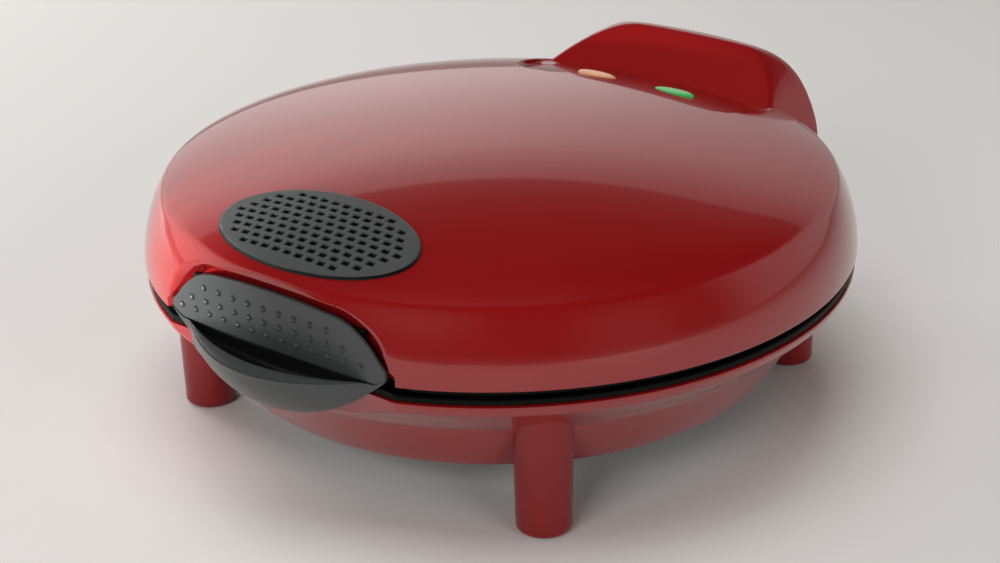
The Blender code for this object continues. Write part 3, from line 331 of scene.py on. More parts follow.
def lidSurface():
    # Rows run from the apex out over the dome, down the side wall, round the lower edge and back up
    # inside. Radius and height come from the dome formula and the side table; the facet is the
    # lower of the wall and a plane. The dish deepens with the share of the way from its edge to the
    # handle, and the pocket and the scallop are offsets by smooth steps. Rows gather at these edges.
    s = lidSize
    turn = spacedAngles()
    cx, cy = np.cos(turn), np.sin(turn)
    one = np.ones_like(turn)
    front = np.minimum(cy, -0.05)
    scallopNear = np.where(cy > 0.6, s["scallopFront"] / np.maximum(cy, 0.6), 100).clip(60, 108)
    scallopFar = np.minimum(s["scallopSide"] / np.maximum(np.abs(cx), 0.3), s["scallopBack"] / np.maximum(cy, 0.7))
    scallopFar = np.clip(scallopFar, scallopNear + 8, 124)
    apex, domeEnd = 2, s["crease"] - 1.6
    beside = 0.8    # rows gather this far to each side of an edge
    even = apex + (domeEnd - apex) * evenShares(domeRows)
    rear = smooth((cy - 0.45) / 0.15)
    edges = [one * apex, scallopNear - beside, scallopNear + beside, scallopFar - beside, scallopFar + beside,
             one * domeEnd]
    radius = between([k * rear + e * (1 - rear) for k, e in zip(edges, even)], domeRows)
    domeZ = domeHeight(radius)
    t = np.linspace(0, 1, 7)[1:, None] * one
    lowZ = s["creaseHeight"] - s["bend"]
    sideStart = np.interp(lowZ, sideZ, sideR)
    bendR = (1 - t) ** 2 * domeEnd + 2 * t * (1 - t) * s["crease"] + t ** 2 * sideStart
    bendZ = (1 - t) ** 2 * domeHeight(domeEnd) + 2 * t * (1 - t) * s["creaseHeight"] + t ** 2 * lowZ
    heights = np.linspace(s["bottom"], lowZ, 160)[:, None]
    ahead = np.interp(heights, sideZ, sideR) * np.abs(front) - facetReach(heights)
    facetTop = np.where(ahead > 0, heights, s["bottom"]).max(0)
    facetTop = np.clip(np.where(cy < frontSine, facetTop, 80), s["bottom"] + 4, lowZ - 0.5)
    xFacet = facetReach(85.0) * cx / np.abs(front)    # where each column crosses the flat front, halfway up
    pocketTop = np.clip(handleTop(xFacet) + s["pocketGap"], s["bottom"] + 1.5, facetTop - 2.5)
    dishTop = np.clip(recessTop(xFacet), pocketTop + 0.9, facetTop - 0.9)
    low = one * s["bottom"]
    notch = smooth((s["notchSide"] - np.abs(s["rim"] * cx)) / 0.8 + 0.5) * (cy > 0)
    low = low + (s["notchTop"] - s["bottom"]) * notch
    facetTop, dishTop = np.maximum(facetTop, low + 5), np.maximum(dishTop, low + 3.6)
    pocketTop = np.maximum(pocketTop, low + 2)
    wallEnd = low + 0.5
    besideFacet, beside = 0.45, 0.4
    ahead = smooth((-cy - 0.82) / 0.07)
    edges = [one * lowZ, facetTop + besideFacet, facetTop - besideFacet, dishTop + beside, dishTop - beside,
             pocketTop + beside, pocketTop - beside, wallEnd]
    even = [lowZ + (wallEnd - lowZ) * share for share in evenShares(wallRows)]
    wallZ = between([k * ahead + e * (1 - ahead) for k, e in zip(edges, even)], wallRows)[1:]
    wallR = np.interp(wallZ, sideZ, sideR)
    lipR = wallR[-1] + np.array([-0.1, -0.45, -1.2])[:, None]
    lipZ = low + np.array([0.2, 0.02, 0.0])[:, None]
    outerR = np.vstack([radius, bendR, wallR, lipR])
    outerZ = np.vstack([domeZ, bendZ, wallZ, lipZ])
    flat = facetReach(outerZ) / np.abs(front)
    outerR = np.where(cy < frontSine, softMin(outerR, flat, s["edgeRound"]), outerR)
    x = outerR * cx
    fromEdge = -distanceTo(recessTop, x, outerZ)
    fromHandle = distanceTo(handleTop, x, outerZ) - s["pocketGap"]
    dish = np.clip(fromEdge / np.maximum(fromEdge + fromHandle, 0.7), 0, 1) ** s["dishCurve"]
    dish = dish * smooth((s["dishSide"] - np.abs(x)) / 2.2 + 0.5)
    pocket = smooth(0.5 - fromHandle / 0.7) * smooth((s["pocketSide"] - np.abs(x)) / 2)
    inPocket = np.maximum(dish, pocket) * (cy < frontSine)
    outerR = outerR + (np.minimum(s["pocket"] / np.abs(front), outerR) - outerR) * inPocket
    onDome = outerR < 126
    outerZ = outerZ - np.where(onDome, scallopDepth(outerR * cx, outerR * cy), 0)
    innerZ = np.vstack([low, low + 6, one * 90, one * 94])
    innerR = np.interp(innerZ, sideZ, sideR) - s["wall"]
    roofR = np.linspace(130, apex, 24)[:, None] * one
    roofZ = domeHeight(roofR) - s["wall"] - scallopDepth(roofR * cx, roofR * cy)
    innerR, innerZ = np.vstack([innerR, roofR]), np.vstack([innerZ, roofZ])
    behindPocket = (s["pocket"] - s["pocketWall"]) / np.abs(front)
    innerR = np.where(cy < frontSine, np.minimum(innerR, behindPocket), innerR)
    allR, allZ = np.vstack([outerR, innerR]), np.vstack([outerZ, innerZ])
    return np.stack([allR * cx, allR * cy, allZ], -1)


gridMesh("lidShell", lidSurface(), lacquer, "lid", ["lid_shell"], sharp=50)
print("lid made")


# Hood: a block over the hinge whose front slopes back, whose shoulders fall to the sides and whose
# rear is a rounded wall

hoodSize = {"half": 74.5, "side": 124.0, "reach": 161.6, "top": 116.9, "face": 114.0, "faceHeight": 101.5,
            "slope": 0.6, "front": 109.6, "frontSide": 62, "bottom": 68.0, "spine": 126.0, "round": 3.5,
            "fillet": 1.7, "wall": 2.4, "lidRadius": 139.0}
# Height of the hood's top at each distance from its middle
shoulderX = np.array([0, 20, 27, 35, 41, 46, 52, 56, 58, 60, 62, 66, 70, 74.5])
shoulderZ = np.array([118.0, 117.9, 117.5, 115.8, 113.7, 111.1, 106.9, 103.1, 100.8, 98.4, 96.2, 91.8, 87, 80])


def hoodSurface():
    # Each column is a cut at one x: it climbs the sloping face, rounds into the shoulder height and
    # falls down the rear wall, a superellipse in side view. It starts on the recess floor, or inside
    # the lid's edge where the hood is wider than the recess. The inside repeats it one wall in.
    s = hoodSize
    across = np.sin(np.linspace(-1, 1, 181) * np.pi / 2) * s["half"]
    wide = np.abs(across)
    shoulder = runningMean(np.interp(wide, shoulderX, shoulderZ), 4)
    back = s["side"] + (s["reach"] - s["side"]) * (1 - (wide / s["half"]) ** 1.8).clip(0) ** 0.5556
    lidBehind = np.sqrt(np.maximum(s["lidRadius"] ** 2 - wide ** 2, 0))
    start = np.where(wide < s["frontSide"], s["front"], np.minimum(lidBehind - 8, back - 0.5))
    start = np.minimum(runningMean(start, 3), back - 0.3)
    v = np.linspace(0, 1, 90)[:, None]
    evenPart = 0.35    # the first rows are evenly spaced, the others follow the superellipse
    share = np.sin(np.maximum(v, evenPart) * np.pi / 2) ** (2 / s["round"]) * np.minimum(v / evenPart, 1)
    y = start + (back - start) * share

    def height(y, inset):    # the lowest of the face, the shoulder and the rear wall, rounded together
        face = s["faceHeight"] + s["slope"] * (y - s["face"]) - inset * 1.3
        reach = np.maximum(back - s["spine"] - inset, 0.4)
        share = np.clip((y - s["spine"]) / reach, 0, 1)
        rear = s["bottom"] + (s["top"] + 0.6 - s["bottom"] - inset) * (1 - share ** s["round"]) ** (1 / s["round"])
        z = softMin(softMin(face, shoulder - inset, s["fillet"]), rear, s["fillet"])
        return np.clip(z, s["bottom"], s["top"] - inset)

    outer = np.stack([across + 0 * y, y, height(y, 0)], -1)
    under = np.stack([across, start, domeHeight(np.hypot(across, start)) - 3.0], -1)[None]
    outer[0] = under[0] * [1, 1, 0] + [0, 0, 1] * np.minimum(under[0], outer[0])
    outer[-1, :, 2] = s["bottom"]
    innerY = start + 3 + (back - start - 3 - s["wall"]).clip(0.2) * np.linspace(0, 1, 40)[:, None] ** 0.8
    inner = np.stack([across * 0.965 + 0 * innerY, innerY, height(innerY, s["wall"])], -1)
    inner[-1, :, 2] = s["bottom"]
    inner[0, :, 2] = np.minimum(inner[0, :, 2], outer[0, :, 2] + 0.5)
    loop = np.concatenate([outer, inner[::-1]], 0)    # rows along the cut, columns across
    return loop.transpose(1, 0, 2)


gridMesh("hingeHood", hoodSurface(), lacquer, "lid", ["hinge_hood"], sharp=60)
print("hood made")


# Oval pad: a raised oval that follows the dome, with a lattice of square dimples; painted shade blackens the
# dimples and a band round its edge

# The colour at the end of this table is painted shade: the near black laid in the dimples and round the pad's edge
padSize = {"place": 108.0, "long": 45.8, "short": 23.8, "proud": 1.5, "edge": 0.1, "pitch": 5.5, "row": 4.1,
           "dimpleLong": 3.3, "dimpleShort": 2.3, "depth": 1.0, "border": 5.0, "rows": 150,
           "dimpleShadeColour": "#0b0b0b"}


def padPlan(count):    # an even square grid pressed into the oval
    a = np.linspace(-1, 1, count * 2)[None, :]
    b = np.linspace(-1, 1, count)[:, None]
    return padSize["long"] * a * np.sqrt(1 - b ** 2 / 2), padSize["short"] * b * np.sqrt(1 - a ** 2 / 2)


def ovalShare(x, y):    # 0 at the pad's middle, 1 on its rim
    return (x / padSize["long"]) ** 2 + (y / padSize["short"]) ** 2


def dimpleDepth(x, y):    # 1 inside a dimple; odd rows are shifted by half a pitch
    s = padSize
    row = np.round(y / s["row"])
    shift = np.mod(row, 2) * s["pitch"] / 2
    dx = np.abs(np.mod(x - shift + s["pitch"] / 2, s["pitch"]) - s["pitch"] / 2)
    dy = np.abs(y - row * s["row"])
    column = np.round((x - shift) / s["pitch"]) * s["pitch"] + shift
    reach = (column / (s["long"] - s["border"])) ** 2 + (row * s["row"] / (s["short"] - s["border"] + 1)) ** 2
    square = smooth((s["dimpleLong"] / 2 - dx) / 0.4 + 0.5) * smooth((s["dimpleShort"] / 2 - dy) / 0.4 + 0.5)
    return square * (reach < 1)


def padSurface():
    # Height is the dome plus the pad's thickness, less the dimples; the thickness falls as a quarter
    # of a circle round the oval's edge. The back lies just above the dome.
    s = padSize
    x, y = padPlan(s["rows"])
    rim = ovalShare(x, y)
    edge = np.sqrt(np.clip(1 - ((rim - 1 + s["edge"]) / s["edge"]).clip(0) ** 2, 0, 1))
    dome = domeHeight(np.hypot(x, y - s["place"]))
    top = dome + s["proud"] * (0.15 + 0.85 * edge) - s["depth"] * dimpleDepth(x, y)
    low = dome + 0.05
    upper = np.stack([x, y - s["place"], top], -1)
    lower = np.stack([x, y - s["place"], low], -1)
    return upper, lower


padPiece = sheetPiece("dimpledPad", *padSurface(), padRubber, "lid", "pad_grey", ["thumb_pad"])


# Painted shade: the rubber turns near black in the dimples and in a thin band round the pad's edge
def paintDimpleShade(piece):    # stores each point's share of a dimple or of the rim, which blackens the rubber
    places = np.empty(len(piece.data.vertices) * 3)
    piece.data.vertices.foreach_get("co", places)
    places = places.reshape(-1, 3) / mm - [0, axisY / mm, 0]
    share = piece.data.attributes.new("dimple", 'FLOAT', 'POINT')
    x, y = places[:, 0], places[:, 1] + padSize["place"]
    share.data.foreach_set("value", np.maximum(dimpleDepth(x, y), smooth((ovalShare(x, y) - 0.965) / 0.02)))
    tree = padRubber.node_tree
    shader = tree.nodes["Principled BSDF"]
    read = addNode(tree, "ShaderNodeAttribute", {"attribute_name": "dimple"})
    ramp = addNode(tree, "ShaderNodeMapRange", {"From Min": 0.25, "From Max": 0.6}, [(read, "Fac", "Value")])
    mix = addNode(tree, "ShaderNodeMix", {"data_type": 'RGBA'})
    tree.links.new(ramp.outputs["Result"], mix.inputs[0])
    tree.links.new(shader.inputs["Base Color"].links[0].from_socket, mix.inputs[6])
    mix.inputs[7].default_value = linear(padSize["dimpleShadeColour"])
    tree.links.new(mix.outputs[2], shader.inputs["Base Color"])


paintDimpleShade(padPiece)
print("pad made")


# Lenses: low oval domes on the scallop's floor

lensSize = {"x": 20.5, "y": 96.5, "long": 10.0, "short": 3.2, "proud": 1.0, "thick": 3.0}


def lensSurface(side):    # rings of an oval that shrink and rise as a quarter of a circle
    s = lensSize
    floor = domeHeight(np.hypot(s["x"], s["y"])) - lidSize["scallopDepth"]
    turn = np.linspace(0, 2 * np.pi, 72, endpoint=False)
    up = np.linspace(0, np.pi / 2, 12)
    size = np.concatenate([[1.0], 0.75 + 0.25 * np.cos(up), np.linspace(0.7, 0.1, 6)])[:, None]
    lift = np.concatenate([[-s["thick"] + s["proud"]], s["proud"] * np.sin(up) * 0.9,
                           s["proud"] * np.linspace(0.93, 1.0, 6)])[:, None]
    return np.stack([side * s["x"] + s["long"] * size * np.cos(turn),
                     s["y"] + s["short"] * size * np.sin(turn), floor + lift + 0 * turn], -1)


gridMesh("amberLens", lensSurface(-1), amberLens, "lid", ["amber_lens"])
gridMesh("greenLens", lensSurface(1), greenLens, "lid", ["green_lens"])
print("lenses made")


# Latch handle: cross-sections from the face down over the finger lip and round the bowl

handleCorners, handleRounds = 32, 3    # corners of one cut, and how often they are cut off
hollowCorners = (5, 10)    # from the face's lower edge down the hollow to its floor


def handleSurface():
    # At each x the cut is a ring of corner points in y and z: down the face, round the hollow, over
    # the finger lip, along a curve to the bowl's underside and up the back. Corner cutting rounds it.
    # Near shrinks the hollow and the lip to nothing at both ends, where the handle comes to a point.
    s = handleSize
    place = np.sin(np.linspace(-1, 1, 161) * np.pi / 2) * s["half"] * 0.985
    top = runningMean(handleTop(place), 3)
    rise = (s["tip"] - s["bowlBottom"]) / s["half"] ** 2
    bowl = s["bowlBottom"] + rise * place ** 2
    straight = s["lipReach"] - s["curve"] * place ** 2
    face = s["face"] - s["bow"] * (place / s["half"]) ** 2
    reach = (straight + face + 0.4 + np.hypot(straight - face - 0.4, 1.6)) / 2
    tall = np.maximum(top - bowl, 0.3)
    lip = np.maximum(s["lipTop"], bowl + 0.15 * tall)
    near = np.clip((lip - bowl) / (s["lipTop"] - s["bowlBottom"]), 0, 1)
    under = lip - s["lipThick"] * near
    scoop = lip - s["scoopDip"] * near
    wide = reach - face
    bowlY = np.minimum(s["bowlReach"], reach - 0.3)
    neck = s["bowlBack"] + 0 * place
    backTop = s["back"] + 0 * place
    ring = [(face - 0.5, top), (face, top - 0.02 * tall), (face, (top + lip) / 2), (face, lip + 1.4 * near),
            (face, lip + 0.5 * near), (face - 0.15, lip + 0.1 * near), (face - 0.2, lip - 0.5 * near),
            (face - 0.2, scoop + 3.0 * near), (face + 0.04 * wide, scoop + 0.8 * near), (face + 0.2 * wide, scoop),
            (face + 0.45 * wide, scoop + 0.5 * near), (reach - 0.4 * wide, scoop + 3 * near),
            (reach - 0.36 * wide, lip - 0.9 * near), (reach - 0.33 * wide, lip - 0.1 * near),
            (reach - 0.2 * wide, lip - 0.1 * near), (reach - 0.09 * wide, lip - 0.9 * near),
            (reach - 0.06 * wide, lip - 1.5 * near), (reach - 0.03 * wide, lip - 1.35 * near),
            (reach, lip - 1.7 * near), (reach - 0.02 * wide, lip - 2.2 * near),
            (reach - 0.03 * wide, under - 0.4 * near)]
    bendY = reach - (reach - bowlY) / 4
    bendZ = bowl + (under - bowl) * 0.28
    for t in (0.2, 0.4, 0.6, 0.8, 1.0):
        ring.append(((1 - t) ** 2 * (reach - 0.03 * wide) + 2 * t * (1 - t) * bendY + t ** 2 * bowlY,
                     (1 - t) ** 2 * (under - 0.4 * near) + 2 * t * (1 - t) * bendZ + t ** 2 * bowl))
    ring += [(neck + 0.5, bowl + 0.005 * tall), (neck, bowl + 0.05 * tall), (neck, lip - 0.02 * tall),
             (backTop, lip + 0.25 * (top - lip)), (backTop, top - 0.04 * tall), (backTop + 0.5, top)]
    cuts = roundCorners(np.stack([np.stack([y, z], -1) for y, z in ring], 1), handleRounds, 1)
    across = np.broadcast_to(place[:, None], cuts.shape[:2])
    return np.stack([across, -cuts[..., 0], cuts[..., 1]], -1)


latchPiece = gridMesh("latchHandle", handleSurface(), satinGrey, "latch", ["latch_handle"],
                      sharp=55)
# Painted shade: the faces of the hollow, between its corners, take the near black material
latchPiece.data.materials.append(hollowShadeBlack)
perCorner = 2 ** handleRounds
around = np.arange(len(latchPiece.data.polygons)) % (perCorner * handleCorners)
hollowShadeFaces = (around > perCorner * hollowCorners[0]) & (around < perCorner * hollowCorners[1])
latchPiece.data.polygons.foreach_set("material_index", hollowShadeFaces.astype(np.int32))

bumpSize = {"radius": 1.35, "height": 1.1, "sunk": 0.25,    # each row is height, first x, last x, count
            "rows": ((82.3, -35.0, 26.4, 9), (76.8, -42.0, 33.7, 11), (72.1, -47.9, 41.9, 13))}


def bumpSurface(x, z):    # a low round cap, sunk a little into the handle's face
    s = bumpSize
    turn = np.linspace(0, 2 * np.pi, 20, endpoint=False)
    up = np.linspace(0, np.pi / 2 * 0.93, 6)[:, None]
    base = handleSize["face"] - handleSize["bow"] * (x / handleSize["half"]) ** 2 - s["sunk"]
    return np.stack([x + s["radius"] * np.cos(up) * np.cos(turn),
                     -(base + (s["height"] + s["sunk"]) * np.sin(up) + 0 * turn),
                     z + s["radius"] * np.cos(up) * np.sin(turn)], -1)


for row, (z, low, high, count) in enumerate(bumpSize["rows"]):
    for i, x in enumerate(np.linspace(low, high, count)):
        gridMesh(f"gripBump{row}x{i}", bumpSurface(x, z), satinGrey, "latch")
print("handle made")


# Base: a turned flange and tapered drum, cut flat behind the handle

baseSize = {"mouth": 129.3, "top": 61.9, "rim": 144.4, "flangeLow": 142.9, "flangeHeight": 57.4,
            "drumTop": 128.7, "drumTopHeight": 44.8, "drumBottom": 114.5, "bottom": 21.8, "wall": 2.8,
            "facetTop": 133.0, "edgeRound": 0.5, "rows": 150}


def baseSurface():
    # A closed profile carried round the axis: mouth, rim, flange, drum, foot of the drum and back up
    # inside. In front the radius is the lower of it and a plane that slopes from the drum's top to
    # the rim, rounded where they meet by an edge that grows from nothing.
    s = baseSize
    w = s["wall"]
    profile = np.array([(s["mouth"], s["top"]), (s["rim"] - 0.7, s["top"]), (s["rim"], s["top"] - 0.5),
                        (s["rim"] - 0.1, s["top"] - 1.2), (s["flangeLow"] + 0.3, s["flangeHeight"] + 0.9),
                        (s["flangeLow"] - 0.8, s["flangeHeight"] - 0.8),
                        (s["drumTop"] + 1.5, s["drumTopHeight"] + 1.4),
                        (s["drumTop"] - 0.8, s["drumTopHeight"] - 1.4),
                        (s["drumBottom"] + 0.6, s["bottom"] + 1.0), (s["drumBottom"] - 0.8, s["bottom"]),
                        (s["drumBottom"] - w, s["bottom"]), (s["drumTop"] - w, s["drumTopHeight"]),
                        (s["drumTop"] - w / 2, (s["flangeHeight"] + s["drumTopHeight"]) / 2),
                        (s["mouth"], s["flangeHeight"])])
    profile = resample(roundCorners(profile, 2, 0), s["rows"])
    profile[:, 1] = np.minimum(profile[:, 1], s["top"])
    turn = spacedAngles()
    radius, height = profile[:, 0][:, None] + 0 * turn, profile[:, 1][:, None] + 0 * turn
    front = np.minimum(np.sin(turn), -0.05)
    rise = (height - s["drumTopHeight"]) / (s["top"] - s["drumTopHeight"])
    plane = (s["drumTop"] + (s["facetTop"] - s["drumTop"]) * rise) / np.abs(front)
    cutHere = (np.sin(turn) < frontSine) & (height > s["drumTopHeight"])
    radius = np.where(cutHere, softMin(radius, plane, s["edgeRound"] * smooth(rise * 3)), radius)
    return np.stack([radius * np.cos(turn), radius * np.sin(turn), height], -1)


gridMesh("baseShell", baseSurface(), lacquer, "base", ["base_shell"], loop=True, sharp=60)

lugSize = {"y": 147.0, "z": 66.0, "radius": 6.0, "place": 26.0, "width": 8.0, "root": 131.5, "low": 47.6,
           "high": 60.5}


def lugSurface(side):    # an eye round the pin on a straight root, carried along X, its edges drawn in
    s = lugSize
    arc = np.radians(np.linspace(-54, 162, 25))
    outline = np.stack([s["y"] + s["radius"] * np.cos(arc), s["z"] + s["radius"] * np.sin(arc)], 1)
    outline = np.vstack([outline, [(s["root"], s["high"]), (s["root"], s["low"])]])
    places = side * s["place"] + s["width"] * np.array([-0.5, -0.45, 0.45, 0.5])
    shrink = np.array([0.93, 1, 1, 0.93])
    middle = outline.mean(0)
    return np.stack([np.column_stack([np.full(len(outline), x), (outline - middle) * k + middle])
                     for x, k in zip(places, shrink)])


for side in (-1, 1):
    gridMesh("hingeLugLeft" if side < 0 else "hingeLugRight", lugSurface(side), lacquer, "base",
             sharp=40)

legSize = {"circle": 123.1, "foot": 10.6, "top": 11.4, "height": 50.0, "lift": 0.6, "edge": 1.8, "pad": 7.3,
           "padDepth": 3.3}


def legSurface(angle):    # a turned profile: slight taper, rounded lower edge, socket for the pad
    s = legSize
    centre = (s["circle"] * np.cos(np.radians(angle)), s["circle"] * np.sin(np.radians(angle)))
    bend = np.radians(np.linspace(0, 90, 9))
    edge = np.stack([s["foot"] - s["edge"] + s["edge"] * np.cos(bend),
                     s["lift"] + s["edge"] - s["edge"] * np.sin(bend)], 1)
    profile = np.vstack([[(2.0, s["height"]), (s["top"], s["height"])],
                         np.stack([np.linspace(s["top"], s["foot"], 12), np.linspace(s["height"] - 1, 4, 12)], 1),
                         edge, [(s["pad"], s["lift"]), (s["pad"], s["padDepth"]), (1.0, s["padDepth"])]])
    return turnedGrid(profile, 96, centre)


for name, node, angle in (("legFrontLeft", "leg_front_left", 225), ("legFrontRight", "leg_front_right", 315),
                          ("legRearLeft", "leg_rear_left", 135), ("legRearRight", "leg_rear_right", 45)):
    gridMesh(name, legSurface(angle), mouldedRed, "base", [node], sharp=40)
print("base made")


# Rims: two black rings, one in the mouth of the base and one in the lid, that show in the gap

rimSize = {"inner": 126.0, "baseOuter": 143.4, "lidOuter": 141.6, "thick": 2.5, "baseFront": 132.0,
           "lidFront": 128.2, "baseHeight": 62.2, "lidHeight": 65.2, "hingeClear": 129.0, "rows": 40}


def rimSurface(low, outer, front):
    # A rectangle with cut corners carried round the axis, straight behind the handle and again
    # before the hinge, where the radius is the lower of the ring's and the line's.
    s = rimSize
    high = low + s["thick"]
    ring = np.array([(s["inner"], high), (outer, high), (outer, low), (s["inner"], low)])
    ring = roundCorners(resample(ring, s["rows"]), 1, 0)
    turn = spacedAngles()
    radius = ring[:, 0][:, None] + 0 * turn
    atFront, atRear = np.sin(turn) < -0.8, np.sin(turn) > 0.8
    flat = front / np.abs(np.minimum(np.sin(turn), -0.05))
    radius = np.where(atFront, np.minimum(radius, flat), radius)
    back = s["hingeClear"] / np.maximum(np.sin(turn), 0.05)
    atHinge = atRear & (np.abs(141 * np.cos(turn)) < lidSize["notchSide"])
    radius = np.where(atHinge, np.minimum(radius, back), radius)
    return np.stack([radius * np.cos(turn), radius * np.sin(turn), ring[:, 1][:, None] + 0 * turn], -1)


baseRing = rimSurface(rimSize["baseHeight"], rimSize["baseOuter"], rimSize["baseFront"])
lidRing = rimSurface(rimSize["lidHeight"], rimSize["lidOuter"], rimSize["lidFront"])
gridMesh("baseRim", baseRing, rimNylon, "base", ["base_rim"], loop=True)
gridMesh("lidRim", lidRing, rimNylon, "lid", ["lid_rim"], loop=True)
print("rims made")


# Cooking plates: six wedge wells with rounded corners round a small hub

plateSize = {"radius": 125.7, "thick": 2.5, "depth": 9.0, "well": 117.0, "rib": 7.0, "blend": 4.0,
             "cornerRound": 6.0, "wedges": 6, "lowerFace": 64.7, "upperFace": 65.5}


def plateSurface(face, direction):
    # Depth is full where a place lies inside a wedge by more than the blend. Its distance is the
    # lower of those to the nearest rib and to the round outer side, rounded where they meet. The
    # back repeats the front one wall away, with the wells one wall wider.
    s = plateSize
    half = np.pi / s["wedges"]
    sector = np.sin(np.linspace(-1, 1, 72, endpoint=False) * np.pi / 2) * half
    turn = (np.arange(s["wedges"])[:, None] * 2 * half + sector).ravel()
    slopeStart = s["well"] - s["blend"]
    radius = np.concatenate([np.linspace(1, slopeStart - 1, 62), np.linspace(slopeStart, s["radius"], 18)])[:, None]
    local = np.mod(turn + half, 2 * half) - half
    toRib = radius * np.sin(half - np.abs(local)) - s["rib"] / 2
    toRim = s["well"] - radius + 0 * turn
    inside = softMin(toRib, toRim, s["cornerRound"])
    depth = s["depth"] * smooth(inside / s["blend"])
    backDepth = s["depth"] * smooth((inside + s["thick"]) / s["blend"])
    x, y = radius * np.cos(turn), radius * np.sin(turn)
    front = np.stack([x, y, face + direction * depth], -1)
    rear = np.stack([x, y, face + direction * (backDepth + s["thick"])], -1)
    return np.concatenate([front, rear[::-1]], 0)


lowerFace, upperFace = plateSurface(plateSize["lowerFace"], -1), plateSurface(plateSize["upperFace"], 1)
gridMesh("lowerPlate", lowerFace, nonStick, "base", ["lower_plate"])
gridMesh("upperPlate", upperFace, nonStick, "lid", ["upper_plate"])
print("plates made")


# The pieces that keep their solid shape get the material of the real ones

finishes = {"foot_pad": footRubber, "bottom_cover": rimNylon, "cover_screw": pinSteel, "cord_bushing": rimNylon,
            "lower_element": heatedSteel, "upper_element": heatedSteel, "lower_heat_shield": sheetSteel,
            "upper_heat_shield": sheetSteel, "thermostat": steatite, "thermal_fuse": heatedSteel,
            "terminal_block": steatite, "hinge_pin": pinSteel, "hinge_arm": rimNylon, "amber_lamp": steatite,
            "green_lamp": steatite, "lamp_board": boardLaminate, "latch_pin": darkSteel, "latch_spring": darkSteel}
for node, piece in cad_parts.items():
    for start, paint in finishes.items():
        if node.startswith(start):
            piece.data.materials.clear()
            piece.data.materials.append(paint)


# Camera: fitted to the photograph by the lid's ellipse, the rims, the legs and the hood

cameraFit = {"elevation": 22.898, "azimuth": 38.483, "distance": 0.84663, "height": 0.07, "roll": -1.126,
             "aimX": -0.00085, "aimY": -0.02717, "lens": 74.04, "sensor": 36.0}


def placeCamera():
    # Looks down by the elevation at a point above the floor, shifted by the aim, rolled about the
    # line of sight, and then all is turned round the lid's axis by the azimuth.
    s = cameraFit
    e, a, roll = np.radians([s["elevation"], s["azimuth"], s["roll"]])
    back = np.array([0, -np.cos(e), np.sin(e)])
    right = np.array([1.0, 0, 0])
    up = np.cross(right, -back)
    forward = -back + s["aimX"] * right + s["aimY"] * up
    forward = forward / np.linalg.norm(forward)
    right = np.cross(forward, [0, 0, 1.0])
    right = right / np.linalg.norm(right)
    up = np.cross(right, forward)
    side = np.cos(roll) * right + np.sin(roll) * up
    top = -np.sin(roll) * right + np.cos(roll) * up
    spin = np.array([[np.cos(a), -np.sin(a), 0], [np.sin(a), np.cos(a), 0], [0, 0, 1]])
    place = spin @ (back * s["distance"] + [0, 0, s["height"]]) + [0, axisY, 0]
    columns = np.stack([spin @ side, spin @ top, spin @ -forward], 1)
    lens = bpy.data.cameras.new("camera")
    lens.lens = s["lens"]
    lens.sensor_width = s["sensor"]
    camera = bpy.data.objects.new("camera", lens)
    bpy.context.scene.collection.objects.link(camera)
    turn = Matrix(columns.tolist()).to_4x4()
    camera.matrix_world = Matrix.Translation(Vector(place)) @ turn
    bpy.context.scene.camera = camera


placeCamera()


# Studio: a pale floor and a sky that is bright in a low band behind the object and dark above it, so
# that the lid mirrors the band up to a crisp curved line. Four lamps that give no mirror image light
# the rest, and a small one brightens the handle's left end.

studio = {"floor": "#e6e4e1", "bandTop": 32.8, "bandSoft": 0.35, "bandFade": 9.0, "leftLevel": 0.98,
          "rightLevel": 0.5, "frontLevel": 0.05, "topLevel": 0.6, "overhead": 0.02,
          "skyColour": (1.0, 0.9, 0.89, 1), "floorReach": 40.0, "narrowSpread": 9,
          # name, place, aim, size, watts, and whether the object mirrors it through a narrow beam
          "lamps": (("topLamp", (-0.2, -0.1, 2.2), (0, 0, 0), (1.6, 1.6), 25.0, False),
                    ("keyLamp", (0.3, -1.7, 0.9), (0, 0, 0.07), (1.0, 0.8), 14.0, False),
                    ("rightLamp", (1.6, -0.4, 0.5), (0, 0, 0.04), (0.8, 0.8), 8.0, False),
                    ("sideLamp", (-1.3, 0.1, 0.5), (0, 0, 0.06), (0.5, 0.8), 7.0, False),
                    ("handleLamp", (-0.2, -0.85, 0.13), (-0.068, -0.139, 0.082), (0.04, 0.04), 0.045, True))}


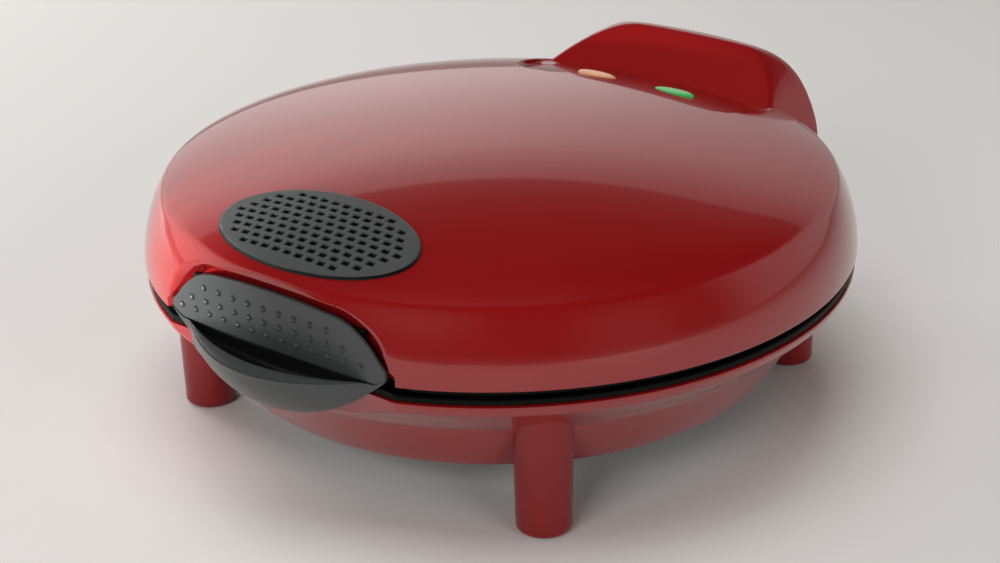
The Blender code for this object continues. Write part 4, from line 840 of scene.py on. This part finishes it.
def makeSky():
    # Brightness of a direction: a step at the band's top in height, times a fade just below it, a
    # slow change from left to right and one from back to front, as the camera sees them.
    world = bpy.data.worlds.new("studioSky")
    world.use_nodes = True
    tree = world.node_tree
    sky = tree.nodes["Background"]
    azimuth = np.radians(cameraFit["azimuth"])
    ahead, leftward = (-np.sin(azimuth), np.cos(azimuth), 0), (-np.cos(azimuth), -np.sin(azimuth), 0)
    seen = addNode(tree, "ShaderNodeNewGeometry")
    parts = addNode(tree, "ShaderNodeSeparateXYZ", (), [(seen, "Incoming", "Vector")])

    def ramp(source, socket, low, high, lowValue, highValue):    # an S curve between two places
        return addNode(tree, "ShaderNodeMapRange", {"interpolation_type": 'SMOOTHSTEP', "From Min": low,
                       "From Max": high, "To Min": lowValue, "To Max": highValue}, [(source, socket, "Value")])

    def along(direction):    # how far a sight line runs in a direction, from -1 to 1
        turn = addNode(tree, "ShaderNodeVectorMath", {"operation": 'DOT_PRODUCT'}, [(seen, "Incoming", 0)])
        turn.inputs[1].default_value = [-v for v in direction]
        return turn

    def times(first, second):    # product of two values
        product = addNode(tree, "ShaderNodeMath", {"operation": 'MULTIPLY'})
        tree.links.new(first.outputs[0], product.inputs[0])
        tree.links.new(second.outputs[0], product.inputs[1])
        return product

    top = np.radians([studio["bandTop"] - studio["bandFade"], studio["bandTop"] - studio["bandSoft"],
                      studio["bandTop"] + studio["bandSoft"]])
    fade = ramp(parts, "Z", -np.sin(top[1]), -np.sin(top[0]), studio["topLevel"], 1.0)
    edge = ramp(parts, "Z", -np.sin(top[2]), -np.sin(top[1]), studio["overhead"], 1.0)
    across = ramp(along(leftward), "Value", -0.35, 0.15, studio["rightLevel"], studio["leftLevel"])
    depth = ramp(along(ahead), "Value", -0.45, 0.05, studio["frontLevel"], 1.0)
    level = times(times(fade, edge), times(across, depth))
    tree.links.new(level.outputs[0], sky.inputs["Strength"])
    sky.inputs["Color"].default_value = studio["skyColour"]
    bpy.context.scene.world = world


def makeStudio():    # sky, a flat square floor, and each lamp turned to its aim
    makeSky()
    floorMesh = bpy.data.meshes.new("floor")
    reach = studio["floorReach"]
    floorMesh.from_pydata([(-reach, -reach, 0), (reach, -reach, 0), (reach, reach, 0), (-reach, reach, 0)], [],
                          [(0, 1, 2, 3)])
    floor = bpy.data.objects.new("floor", floorMesh)
    floor.data.materials.append(surface("paleFloor", studio["floor"], studio["floor"], 0.7, 30, 0.001))
    bpy.context.scene.collection.objects.link(floor)
    for name, place, aim, size, power, mirrored in studio["lamps"]:
        lamp = bpy.data.lights.new(name, 'AREA')
        lamp.shape = 'RECTANGLE'
        lamp.size, lamp.size_y = size
        lamp.energy = power
        panel = bpy.data.objects.new(name, lamp)
        panel.location = place
        panel.rotation_euler = (Vector(place) - Vector(aim)).to_track_quat('Z', 'Y').to_euler()
        panel.visible_glossy = mirrored
        lamp.spread = np.radians(studio["narrowSpread"]) if mirrored else np.pi
        bpy.context.scene.collection.objects.link(panel)


makeStudio()
bpy.context.scene.view_settings.view_transform = 'Standard'
print("camera and studio made")
